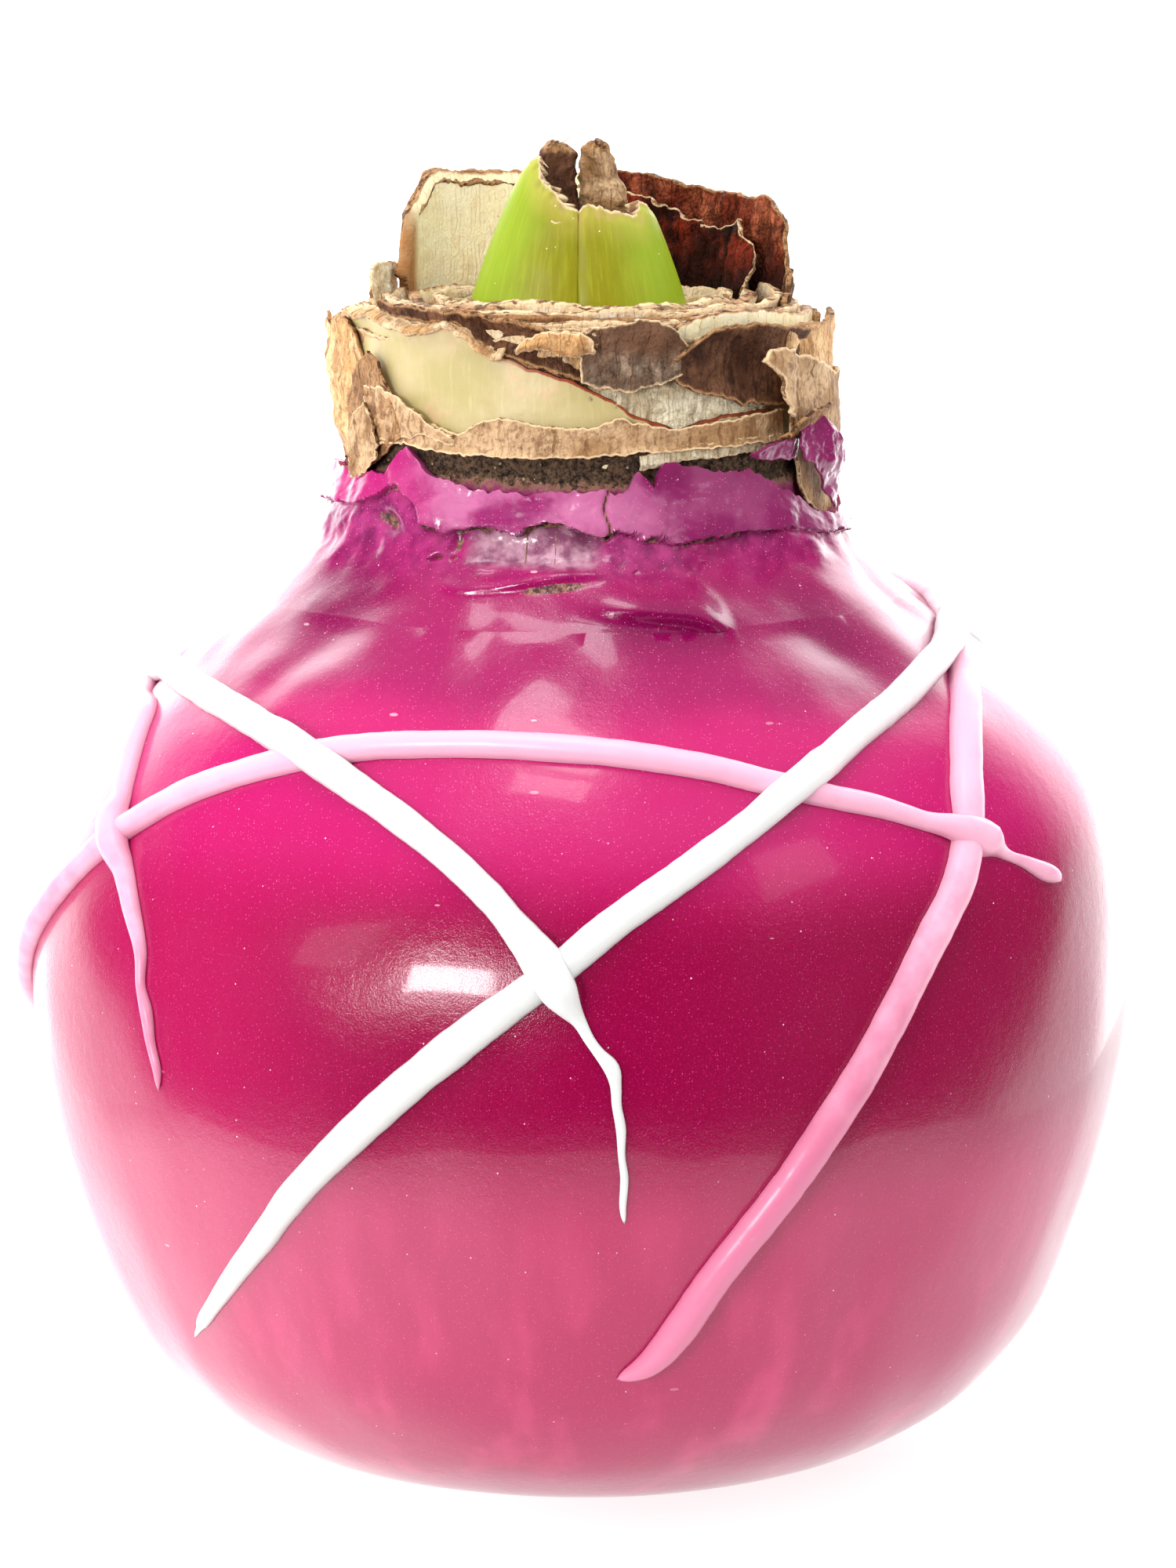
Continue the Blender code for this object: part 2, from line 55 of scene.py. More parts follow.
# The wax body's outer profile, radius and height.
BODY_RADIUS = 49.9
BASE_RADIUS = 19.5
WAX_THICKNESS = 1.3
WAX_PROFILE = [
    (0.0, 0.0),
    (10.0, 0.0),
    (BASE_RADIUS, 0.0),
    (27.5, 1.3),
    (33.2, 4.0),
    (38.2, 8.0),
    (42.6, 14.0),
    (45.8, 22.0),
    (48.3, 31.0),
    (BODY_RADIUS, 41.0),
    (49.4, 51.0),
    (46.4, 60.0),
    (41.3, 68.0),
    (34.8, 74.0),
    (28.6, 79.0),
    (24.8, 83.0),
    (23.0, 87.0),
    (22.8, 92.0),
    (22.8, 96.0),
]

# The torn top edge of the wax round the neck, azimuth and height.
WAX_EDGE = [
    (-180, 90.0), (-160, 90.8), (-140, 91.2), (-124, 90.2), (-110, 89.6), (-85, 90.3), (-65, 90.4),
    (-51, 90.6), (-48, 92.0), (-44, 93.2), (-41, 92.2), (-38, 91.1), (-32, 90.5), (-25, 89.9),
    (-11, 89.7), (0, 89.9), (6, 90.2), (8, 89.4), (11, 90.1), (13, 91.5), (15, 91.2), (17, 90.1),
    (19, 92.3), (24, 92.2), (29, 91.7), (33, 91.2), (43, 91.2), (50, 89.9), (57, 88.4), (64, 86.9),
    (72, 86.3), (80, 86.6), (88, 87.8), (100, 89.6), (122, 90.6), (150, 89.4), (180, 90.0),
]
# The torn lower edge of the upper wax flap that lies over the dip's first layer.
FLAP_EDGE = [
    (-180, 86.6), (-160, 87.4), (-140, 86.2), (-120, 85.6), (-100, 86.4), (-80, 87.2), (-62, 87.7),
    (-55, 87.9), (-49, 89.6), (-46, 89.8), (-40, 88.4), (-37, 86.6), (-30, 86.1), (-24, 86.7),
    (-20, 86.7), (-14, 86.3), (-11, 86.8), (-7, 87.3), (-3, 87.1), (1, 86.3), (5, 86.1), (8, 86.7),
    (11, 86.3), (14, 86.0), (17, 86.1), (19, 85.6), (22, 85.2), (28, 85.7), (38, 86.0), (51, 85.9),
    (62, 84.9), (80, 84.6), (100, 86.2), (120, 87.0), (140, 86.4), (160, 85.8), (180, 86.6),
]

# The neck: the cut scales' outer radius, the old skin's radius, and how far apart degrees lie.
SCALE_RADIUS = 20.1
SKIN_RADIUS = 21.05
NECK_RADIUS = 20.0
MM_A_DEGREE = 0.36

# Piped lines: azimuth, height and half width, in order along each line.
WHITE_FALLING = [
    (4.4, 31.5, 0.15), (4.2, 33.1, 0.30), (4.3, 35.6, 0.35), (4.0, 37.7, 0.32), (3.9, 40.1, 0.42),
    (3.5, 42.1, 0.42), (3.4, 43.8, 0.50), (3.0, 45.3, 0.68), (1.8, 46.6, 0.50), (0.9, 47.7, 0.48),
    (0.0, 49.1, 0.60), (-0.9, 50.2, 1.05), (-2.1, 51.8, 1.7), (-3.8, 54.1, 1.75), (-6.7, 56.8, 1.32),
    (-9.7, 59.2, 1.30), (-15.2, 62.3, 1.30), (-24.0, 65.7, 1.35), (-36.0, 68.7, 1.44),
    (-50.0, 70.7, 1.44), (-65.0, 71.6, 1.44), (-78.0, 71.7, 1.44), (-90.0, 71.0, 1.39),
    (-106.0, 68.0, 1.39), (-125.0, 61.5, 1.39), (-145.0, 52.5, 1.44), (-162.0, 45.2, 1.44),
    (-176.0, 38.6, 1.39), (-190.0, 32.0, 1.13), (-202.0, 25.6, 0.87), (-209.0, 21.0, 0.30),
]
WHITE_RISING = [
    (-50.8, 16.0, 0.10), (-48.6, 17.4, 0.35), (-47.3, 18.3, 0.65), (-43.4, 21.0, 0.82),
    (-39.1, 24.3, 1.03), (-34.2, 28.3, 1.20), (-29.5, 32.8, 1.38), (-23.6, 37.8, 1.50),
    (-16.9, 43.2, 1.59), (-10.6, 47.8, 1.59), (-7.0, 50.2, 1.50), (-2.0, 53.4, 1.42),
    (3.5, 57.1, 1.42), (10.5, 60.7, 1.38), (18.0, 64.1, 1.38), (26.5, 67.3, 1.46), (37.5, 70.5, 1.38),
    (54.0, 73.2, 1.38), (68.0, 74.6, 1.38), (82.0, 75.6, 1.38), (98.0, 74.8, 1.38), (116.0, 69.0, 1.38),
    (137.0, 58.6, 1.42), (154.0, 49.2, 1.42), (170.0, 41.0, 1.38), (186.0, 33.6, 1.29),
    (200.0, 27.0, 0.86), (208.0, 22.2, 0.30),
]
PINK_ARC = [
    (59.0, 56.2, 0.15), (57.6, 56.9, 0.7), (55.5, 57.6, 0.85), (53.0, 58.6, 0.6), (50.6, 59.4, 0.5),
    (48.8, 60.2, 0.8), (46.8, 61.1, 1.6), (44.6, 61.9, 1.5), (42.6, 62.5, 1.05), (40.2, 63.2, 0.9),
    (34.7, 64.8, 1.05), (29.1, 65.9, 1.1), (22.5, 67.2, 1.2), (14.0, 68.8, 1.25), (3.0, 69.9, 1.3),
    (-8.0, 70.3, 1.3), (-20.0, 70.1, 1.3), (-32.0, 69.0, 1.3), (-43.0, 66.8, 1.25),
    (-53.0, 63.9, 1.25), (-61.0, 60.2, 1.3), (-68.0, 55.4, 1.3), (-75.0, 50.4, 1.25),
    (-83.0, 45.0, 1.25), (-94.0, 39.0, 1.2), (-110.0, 33.5, 1.2), (-128.0, 29.5, 1.15),
    (-143.0, 27.5, 0.95), (-152.0, 26.4, 0.3),
]
PINK_LOOP = [
    (4.0, 16.8, 0.30), (7.5, 18.4, 1.17), (10.5, 21.6, 1.52), (14.0, 26.6, 1.52), (19.0, 32.5, 1.58),
    (24.0, 38.5, 1.64), (28.0, 43.2, 1.64), (32.0, 48.0, 1.58), (37.0, 53.4, 1.58),
    (42.0, 58.0, 1.58), (45.2, 61.8, 1.58), (48.5, 65.7, 1.64), (54.0, 69.2, 1.58), (62.0, 71.9, 1.52),
    (72.0, 74.0, 1.46), (83.0, 75.5, 1.40), (96.0, 76.2, 1.40), (112.0, 76.8, 1.46), (132.0, 75.4, 1.46),
    (152.0, 72.6, 1.46), (180.0, 71.2, 1.46), (208.0, 72.6, 1.46), (232.0, 73.0, 1.40),
    (250.0, 69.8, 1.35), (262.0, 68.4, 1.29), (273.0, 68.4, 1.23), (284.5, 68.5, 1.17),
    (289.6, 65.7, 1.17),
    (294.3, 62.2, 1.17), (298.2, 59.3, 1.46), (303.4, 56.7, 0.99), (307.4, 53.9, 0.84),
    (310.1, 51.3, 0.62), (310.9, 48.6, 0.50), (312.2, 46.4, 0.62), (312.9, 43.9, 0.50),
    (313.8, 41.6, 0.42), (313.7, 39.7, 0.12),
]
WHITE_HEIGHT = 1.5
PINK_HEIGHT = 1.2


# The floor, a sheet of paper with a round front end.
FLOOR_FRONT = -112.0
FLOOR_HALF_WIDTH = 125.0
FLOOR_BACK = 3000.0
PAPER_GLOW = 1.7


# Curves through points

def between(points, x):
    """Straight-line value at x of a list of (x, value) points."""
    if x <= points[0][0]:
        return points[0][1]
    k = bisect.bisect_left([p[0] for p in points], x)
    if k >= len(points):
        return points[-1][1]
    (x0, y0), (x1, y1) = points[k - 1], points[k]
    return y0 + (y1 - y0) * (x - x0) / (x1 - x0)


def catmull_rom(p0, p1, p2, p3, t):
    return 0.5 * (
        2 * p1
        + (p2 - p0) * t
        + (2 * p0 - 5 * p1 + 4 * p2 - p3) * t * t
        + (3 * p1 - p0 - 3 * p2 + p3) * t**3
    )


def smooth_curve(points, steps):
    """The points of a smooth curve through rows of numbers, with some steps a span."""
    ends = [points[0], *points, points[-1]]
    curve = []
    for i in range(len(points) - 1):
        for k in range(steps):
            rows = zip(*ends[i : i + 4])
            curve.append(tuple(catmull_rom(*row, k / steps) for row in rows))
    curve.append(tuple(points[-1]))
    return curve


def even_steps(curve, places, step):
    """Rows of the curve that lie evenly, about a step apart in space."""
    lengths = [0.0]
    for a, b in zip(places, places[1:]):
        lengths.append(lengths[-1] + (b - a).length)
    count = max(3, round(lengths[-1] / step))
    rows, k = [], 0
    for i in range(count + 1):
        wanted = lengths[-1] * i / count
        while k < len(lengths) - 2 and lengths[k + 1] < wanted:
            k += 1
        t = (wanted - lengths[k]) / (lengths[k + 1] - lengths[k])
        rows.append(tuple(a + (b - a) * t for a, b in zip(curve[k], curve[k + 1])))
    return rows


def ease(low, high, x):
    """Smooth step from 0 at low to 1 at high."""
    t = min(1.0, max(0.0, (x - low) / (high - low)))
    return t * t * (3 - 2 * t)


def hump(x, middle, width):
    """A round hump of height 1 at its middle."""
    return math.exp(-(((x - middle) / width) ** 2))


def lumps(point, size, seed=0.0):
    """Smooth noise from about -1 to 1, with lumps of one size in millimetres."""
    return noise.noise(Vector(point) / size + Vector((seed, seed * 1.7, -seed)))


def crumple(place, amount, size, seed):
    """Creases of three sizes laid over each other."""
    big = lumps(place, size, seed)
    middle = lumps(place, size * 0.45, seed + 4)
    fine = lumps(place, size * 0.2, seed + 8)
    return amount * (big + 0.5 * middle + 0.28 * fine)


# The body's surface

PROFILE_STEPS = 16
PROFILE = smooth_curve(WAX_PROFILE, PROFILE_STEPS)
RADIUS_TABLE = sorted((z, r) for r, z in PROFILE if r >= BASE_RADIUS)
TABLE_Z = [z for z, r in RADIUS_TABLE]


def body_radius(z):
    """The wax body's outer radius at a height, before its swellings."""
    k = min(max(bisect.bisect_left(TABLE_Z, z), 1), len(TABLE_Z) - 1)
    (z0, r0), (z1, r1) = RADIUS_TABLE[k - 1], RADIUS_TABLE[k]
    t = min(1.0, max(0.0, (z - z0) / max(z1 - z0, 1e-9)))
    return r0 + (r1 - r0) * t


def swelling(azimuth, z):
    """How far the wax stands out from the round profile: a fuller right shoulder and soft lobes."""
    shoulder = 1.6 * hump(z, 64, 9) * math.sin(azimuth)
    waist = hump(z, 40, 26)
    lobes = 0.28 * waist * math.sin(5 * azimuth + 0.6) + 0.2 * waist * math.sin(8 * azimuth)
    return shoulder + lobes


def round_point(azimuth, radius, z):
    return Vector((radius * math.sin(azimuth), -radius * math.cos(azimuth), z))


def on_neck(degrees, z, radius=NECK_RADIUS):
    return round_point(math.radians(degrees), radius, z)


def skin(azimuth, z):
    """Point of the smooth wax body at an azimuth in radians and a height in millimetres."""
    return round_point(azimuth, body_radius(z) + swelling(azimuth, z), z)


def outward(azimuth, z):
    """Direction that points straight out of the smooth wax body."""
    across = skin(azimuth + 0.02, z) - skin(azimuth - 0.02, z)
    up = skin(azimuth, z + 0.4) - skin(azimuth, max(z - 0.4, 0.0))
    return across.cross(up).normalized()


# Making meshes

# What a scale's mesh tells its finish: places over and up it, nearness to a torn rim, and a tint.
LAYERS = ("across", "along", "rim", "tint")
LAYER_RADIUS = 20.5
LAYER_FOOT = 90.0
SHARP_EDGE = math.radians(50)
NECK_MIDDLE = Vector((0.0, 0.0, 0.098))


def grid_piece(name, columns, rows, place, material, layers=(), merge=True):
    """A grid bent by place(u, v), which gives a point in millimetres and a value for each layer."""
    bm = bmesh.new()
    bmesh.ops.create_grid(bm, x_segments=columns, y_segments=rows, size=0.5)
    stores = [bm.verts.layers.float.new(layer) for layer in layers]
    for vertex in bm.verts:
        point, *values = place(vertex.co.x + 0.5, vertex.co.y + 0.5)
        vertex.co = point * MM
        for store, value in zip(stores, values):
            vertex[store] = value
    if merge:
        bmesh.ops.remove_doubles(bm, verts=bm.verts, dist=2e-6)
    bmesh.ops.recalc_face_normals(bm, faces=bm.faces)
    return mesh_object(name, bm, material)


def mesh_object(name, bm, material):
    """Makes a smooth object of a bmesh, at the origin, with its sharp edges kept."""
    mesh = bpy.data.meshes.new(name)
    bm.to_mesh(mesh)
    bm.free()
    mesh.shade_smooth()
    mesh.set_sharp_from_angle(angle=SHARP_EDGE)
    mesh.materials.append(material)
    piece = bpy.data.objects.new(name, mesh)
    bpy.context.scene.collection.objects.link(piece)
    return piece


def face_outwards(piece, inside):
    """Turns an open sheet's faces so that they look away from an inner point."""
    mesh = piece.data
    total = sum((p.center - inside).dot(p.normal) * p.area for p in mesh.polygons)
    if total < 0:
        mesh.flip_normals()


def thicken(piece, thickness):
    """Gives an open sheet a wall that grows inwards from its outer face."""
    solidify = piece.modifiers.new("thickness", "SOLIDIFY")
    solidify.thickness = thickness * MM
    solidify.offset = -1.0
    solidify.use_even_offset = False
    solidify.use_rim = True


def settle(piece, node):
    """Lets a piece ride on the bulb in place of a node, which it hides."""
    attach(piece, "root")
    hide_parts(node)
    return piece


# Shader building

def add(tree, kind, inputs=None, **settings):
    """Adds a node, sets its settings, and sets or links its inputs by name or number."""
    node = tree.nodes.new(kind)
    for key, value in settings.items():
        setattr(node, key, value)
    for key, value in (inputs or {}).items():
        socket = node.inputs[key]
        if isinstance(value, bpy.types.NodeSocket):
            tree.links.new(value, socket)
        else:
            socket.default_value = value
    return node


def colour(red, green, blue):
    return (red, green, blue, 1.0)


def grey(level):
    return colour(level, level, level)


def tones(*rows):
    return tuple(colour(*row) for row in rows)


def mix(tree, factor, a, b):
    return add(tree, "ShaderNodeMix", {0: factor, 6: a, 7: b}, data_type="RGBA").outputs[2]


def ramp(tree, value, low, high, to_low=0.0, to_high=1.0):
    node = add(
        tree, "ShaderNodeMapRange", {0: value, 1: low, 2: high, 3: to_low, 4: to_high},
        interpolation_type="SMOOTHSTEP",
    )
    return node.outputs[0]


def maths(tree, operation, a, b=0.0):
    return add(tree, "ShaderNodeMath", {0: a, 1: b}, operation=operation).outputs[0]


def times(tree, a, b):
    return maths(tree, "MULTIPLY", a, b)


def plus(tree, a, b):
    return maths(tree, "ADD", a, b)


def blend(tree, factor, a, b):
    """The value that lies between two values, as mix does for colours."""
    return add(tree, "ShaderNodeMix", {0: factor, 2: a, 3: b}).outputs[0]


def clouds(tree, vector, scale, detail=3.0, roughness=0.55):
    node = add(
        tree, "ShaderNodeTexNoise",
        {"Vector": vector, "Scale": scale, "Detail": detail, "Roughness": roughness},
    )
    return node.outputs["Fac"]


def stretched(tree, vector, factors):
    return add(tree, "ShaderNodeVectorMath", {0: vector, 1: factors}, operation="MULTIPLY").outputs[0]


def millimetres(tree):
    """The piece's own coordinates, counted in millimetres."""
    place = add(tree, "ShaderNodeTexCoord").outputs["Object"]
    return stretched(tree, place, (1000.0, 1000.0, 1000.0))


def layer(tree, name):
    return add(tree, "ShaderNodeAttribute", attribute_name=name).outputs["Fac"]


def group(name, inputs, outputs):
    """An empty shader group with named sockets, and its input and output nodes."""
    tree = bpy.data.node_groups.new(name, "ShaderNodeTree")
    kinds = {"value": "NodeSocketFloat", "colour": "NodeSocketColor", "vector": "NodeSocketVector"}
    for socket, kind in inputs:
        tree.interface.new_socket(socket, in_out="INPUT", socket_type=kinds[kind])
    for socket, kind in outputs:
        tree.interface.new_socket(socket, in_out="OUTPUT", socket_type=kinds[kind])
    return tree, tree.nodes.new("NodeGroupInput"), tree.nodes.new("NodeGroupOutput")


def use(tree, shared, inputs):
    """Places a shared shader group with its own values, and gives its outputs."""
    return add(tree, "ShaderNodeGroup", inputs, node_tree=shared).outputs


def mica_specks():
    """Tiny bright flakes strewn in the wax: one in a few cells of a fine mesh holds a flake."""
    tree, given, out = group(
        "mica_specks",
        [("Place", "vector"), ("Cell", "value"), ("Size", "value"), ("Share", "value")],
        [("Mask", "value")],
    )
    cells = add(
        tree, "ShaderNodeTexVoronoi", {"Vector": given.outputs["Place"], "Scale": given.outputs["Cell"]}
    )
    lit = maths(tree, "LESS_THAN", cells.outputs["Distance"], given.outputs["Size"])
    parts = add(tree, "ShaderNodeSeparateColor", {0: cells.outputs["Color"]})
    chosen = maths(tree, "LESS_THAN", parts.outputs[0], given.outputs["Share"])
    mask = times(tree, lit, chosen)
    strength = times(tree, mask, parts.outputs[1])
    tree.links.new(strength, out.inputs["Mask"])
    return tree


def fibres():
    """Streaks and thin veins that run up a scale, from its own across and along layers."""
    tree, given, out = group(
        "fibres",
        [("Across", "value"), ("Along", "value"), ("Spacing", "value"), ("Wander", "value")],
        [("Streaks", "value"), ("Veins", "value")],
    )
    drift = add(tree, "ShaderNodeCombineXYZ", {0: given.outputs["Across"], 1: given.outputs["Along"]})
    sway = clouds(tree, drift.outputs[0], 0.35, 3.0)
    sway = times(tree, maths(tree, "SUBTRACT", sway, 0.5), given.outputs["Wander"])
    across = plus(tree, given.outputs["Across"], sway)
    along = times(tree, given.outputs["Along"], 0.22)
    place = add(tree, "ShaderNodeCombineXYZ", {0: times(tree, across, 2.2), 1: along})
    tree.links.new(clouds(tree, place.outputs[0], 1.0, 5.0, 0.65), out.inputs["Streaks"])
    turns = maths(tree, "DIVIDE", across, given.outputs["Spacing"])
    wave = maths(tree, "SINE", times(tree, turns, 2 * math.pi))
    broken = ramp(tree, clouds(tree, drift.outputs[0], 0.7, 3.0), 0.42, 0.6)
    tree.links.new(times(tree, ramp(tree, wave, 0.94, 1.0), broken), out.inputs["Veins"])
    return tree


def browned_rim():
    """Colour that dries towards a torn rim and is burnt at its very edge, in uneven spots."""
    tree, given, out = group(
        "browned_rim",
        [
            ("Rim", "value"), ("Place", "vector"), ("Reach", "value"), ("Colour", "colour"),
            ("Dry", "colour"), ("Burnt", "colour"),
        ],
        [("Colour", "colour"), ("Mask", "value")],
    )
    uneven = clouds(tree, given.outputs["Place"], 0.9, 5.0, 0.7)
    reach = plus(tree, given.outputs["Rim"], times(tree, uneven, 1.1))
    dry = ramp(tree, reach, maths(tree, "SUBTRACT", 1.45, given.outputs["Reach"]), 1.5)
    burnt = ramp(tree, reach, 1.5, 1.64)
    dried = mix(tree, dry, given.outputs["Colour"], given.outputs["Dry"])
    tree.links.new(mix(tree, burnt, dried, given.outputs["Burnt"]), out.inputs["Colour"])
    tree.links.new(dry, out.inputs["Mask"])
    return tree


def fine_bumps():
    """Relief of two grains laid over each other, for a Bump node."""
    tree, given, out = group(
        "fine_bumps",
        [("Place", "vector"), ("Coarse", "value"), ("Fine", "value"), ("Share", "value")],
        [("Height", "value")],
    )
    coarse = clouds(tree, given.outputs["Place"], given.outputs["Coarse"], 2.0)
    fine = clouds(tree, given.outputs["Place"], given.outputs["Fine"], 3.0)
    fine = times(tree, fine, given.outputs["Share"])
    tree.links.new(plus(tree, coarse, fine), out.inputs["Height"])
    return tree


SPECKS, FIBRES, RIM, BUMPS = mica_specks(), fibres(), browned_rim(), fine_bumps()


def new_finish(name, **constants):
    """A material with its shader's constant sockets set; gives the material, tree and shader."""
    material = bpy.data.materials.new(name)
    material.use_nodes = True
    tree = material.node_tree
    shader = tree.nodes["Principled BSDF"]
    for key, value in constants.items():
        shader.inputs[key.replace("_", " ")].default_value = value
    return material, tree, shader


def bump(tree, shader, height, depth, strength):
    """Lets a height relief of some depth in millimetres bend the shader's normals."""
    node = add(
        tree, "ShaderNodeBump", {"Height": height, "Distance": depth * MM, "Strength": strength}
    )
    tree.links.new(node.outputs[0], shader.inputs["Normal"])


WAX_TONES = {
    "body": colour(0.31, 0.0008, 0.058),
    "brighter body": colour(0.39, 0.002, 0.078),
    "painted reflection streak": colour(0.64, 0.05, 0.17),
    "shoulder": colour(0.46, 0.005, 0.125),
    "dark band": colour(0.22, 0.0005, 0.036),
    "neck": colour(0.235, 0.001, 0.072),
    "pool": colour(0.15, 0.0008, 0.05),
    "violet": colour(0.15, 0.008, 0.075),
    "pale violet": colour(0.36, 0.03, 0.16),
    "pearl": colour(0.62, 0.01, 0.17),
    "flap": colour(0.25, 0.014, 0.11),
    "pale flap": colour(0.47, 0.12, 0.27),
    "left flap": colour(0.44, 0.008, 0.15),
    "right flap": colour(0.20, 0.012, 0.085),
    "recess": colour(0.20, 0.05, 0.11),
    "pale recess": colour(0.50, 0.26, 0.34),
    "bare skin": colour(0.06, 0.015, 0.02),
    "pale bare skin": colour(0.36, 0.15, 0.09),
    "dust": colour(0.92, 0.16, 0.44),
    "fleck": colour(0.98, 0.70, 0.82),
    "lint": colour(0.9, 0.55, 0.62),
}


def magenta_wax():
    """Glossy magenta wax, violet where it thins at the neck, with mica flakes, brown tears, and painted
    light, shade and reflection.
    """
    material, tree, shader = new_finish("magenta_wax", Coat_Weight=0.5, Coat_Roughness=0.08)
    tone = WAX_TONES
    place = millimetres(tree)
    x, _, height = add(tree, "ShaderNodeSeparateXYZ", {0: place}).outputs
    soft, patchy = clouds(tree, place, 0.045), clouds(tree, place, 0.16, 4.0)
    spotty, crumbs = clouds(tree, place, 0.6, 4.0), clouds(tree, place, 2.2, 4.0, 0.7)

    # The body: a painted reflection of pale upright streaks low down, painted shade in a band at its
    # middle that is darker to the right, and painted light on the shoulder.
    shade = mix(tree, soft, tone["body"], tone["brighter body"])
    # Painted reflection: pale upright streaks low down.
    streaks = clouds(tree, stretched(tree, place, (1.0, 1.0, 0.12)), 0.14, 3.0)
    low = ramp(tree, height, 40.0, 14.0)
    shade = mix(tree, times(tree, ramp(tree, streaks, 0.48, 0.72, 0.0, 0.5), low), shade, tone["painted reflection streak"])
    # Painted light: the wax grows lighter up the shoulder.
    shade = mix(tree, ramp(tree, height, 54.0, 66.0, 0.0, 0.9), shade, tone["shoulder"])
    # Painted shade: a darker band round the middle, more so to the right.
    middle = times(tree, ramp(tree, height, 62.0, 54.0), ramp(tree, height, 30.0, 40.0))
    middle = times(tree, middle, ramp(tree, x, -34.0, -12.0, 0.2, 0.9))
    shade = mix(tree, middle, shade, tone["dark band"])

    # The neck: painted shade that darkens the wax towards the neck, thick wax with painted shade under
    # the nose and the folds, and violet where the wax is thin.
    # Painted shade: the wax darkens towards the neck.
    uneven_height = plus(tree, height, times(tree, soft, 8.0))
    shade = mix(tree, ramp(tree, uneven_height, 74.0, 79.0, 0.0, 0.75), shade, tone["neck"])
    # Thick pooled wax, with painted shade under the nose and the folds.
    shade = mix(tree, times(tree, layer(tree, "deep"), 0.9), shade, tone["pool"])
    patchy_height = plus(tree, height, times(tree, patchy, 8.0))
    thinner = times(tree, ramp(tree, patchy_height, 84.5, 91.5), ramp(tree, height, 78.5, 82.0))
    violet = mix(tree, ramp(tree, spotty, 0.3, 0.7), tone["violet"], tone["pale violet"])
    shade = mix(tree, thinner, shade, violet)
    pearl = ramp(tree, clouds(tree, place, 7.0, 2.0, 0.7), 0.50, 0.72, 0.0, 0.35)
    shade = mix(tree, pearl, shade, tone["pearl"])

    # The torn edge: the upper flap, the recess under it, and bare skin in the tears.
    flap = mix(tree, ramp(tree, patchy, 0.40, 0.62), tone["flap"], tone["pale flap"])
    flap = mix(tree, ramp(tree, x, -11.0, -17.0, 0.0, 0.8), flap, tone["left flap"])
    flap = mix(tree, ramp(tree, x, 0.0, 12.0, 0.0, 0.75), flap, tone["right flap"])
    shade = mix(tree, layer(tree, "flap"), shade, flap)
    recess = mix(tree, ramp(tree, spotty, 0.35, 0.65), tone["recess"], tone["pale recess"])
    shade = mix(tree, layer(tree, "thin"), shade, recess)
    torn = ramp(tree, plus(tree, layer(tree, "bare"), times(tree, crumbs, 0.6)), 0.85, 1.0)
    bare = mix(tree, ramp(tree, crumbs, 0.4, 0.65), tone["bare skin"], tone["pale bare skin"])
    shade = mix(tree, torn, shade, bare)

    # Mica in the wax, denser on the shoulder.
    dust = use(tree, SPECKS, {"Place": place, "Cell": 4.2, "Size": 0.24, "Share": 0.40})["Mask"]
    flecks = use(tree, SPECKS, {"Place": place, "Cell": 1.3, "Size": 0.09, "Share": 0.09})["Mask"]
    flat = stretched(tree, place, (0.5, 0.5, 1.6))
    lint = use(tree, SPECKS, {"Place": flat, "Cell": 0.5, "Size": 0.10, "Share": 0.05})["Mask"]
    dust = times(tree, dust, ramp(tree, height, 52.0, 68.0, 0.28, 0.62))
    shade = mix(tree, dust, shade, tone["dust"])
    shade = mix(tree, times(tree, flecks, 0.8), shade, tone["fleck"])
    shade = mix(tree, times(tree, lint, 0.6), shade, tone["lint"])
    tree.links.new(shade, shader.inputs["Base Color"])

    rough = plus(tree, times(tree, clouds(tree, place, 0.25, 2.0), 0.10), 0.13)
    tree.links.new(plus(tree, rough, times(tree, torn, 0.45)), shader.inputs["Roughness"])
    grain = use(tree, BUMPS, {"Place": place, "Coarse": 0.9, "Fine": 6.0, "Share": 0.7})["Height"]
    bump(tree, shader, grain, 0.07, 0.5)
    return material


def piped_wax(name, light, deep):
    """Smooth piped wax with the faint ripples that the tip leaves, deeper in tone lower down."""
    material, tree, shader = new_finish(
        name, Coat_Weight=0.15, Coat_Roughness=0.2, Subsurface_Weight=0.15,
        Subsurface_Radius=(1.0, 0.6, 0.6), Subsurface_Scale=0.0015,
    )
    place = millimetres(tree)
    _, _, height = add(tree, "ShaderNodeSeparateXYZ", {0: place}).outputs
    uneven_height = plus(tree, height, times(tree, clouds(tree, place, 0.35, 3.0), 30.0))
    shade = mix(tree, ramp(tree, uneven_height, 50.0, 84.0), deep, light)
    specks = use(tree, SPECKS, {"Place": place, "Cell": 0.9, "Size": 0.09, "Share": 0.12})["Mask"]
    shade = mix(tree, times(tree, specks, 0.5), shade, colour(0.55, 0.35, 0.35))
    tree.links.new(shade, shader.inputs["Base Color"])
    rough = plus(tree, times(tree, clouds(tree, place, 0.8, 2.0), 0.16), 0.26)
    tree.links.new(rough, shader.inputs["Roughness"])
    ripples = use(tree, BUMPS, {"Place": place, "Coarse": 0.7, "Fine": 3.5, "Share": 0.3})["Height"]
    bump(tree, shader, ripples, 0.05, 0.6)
    return material


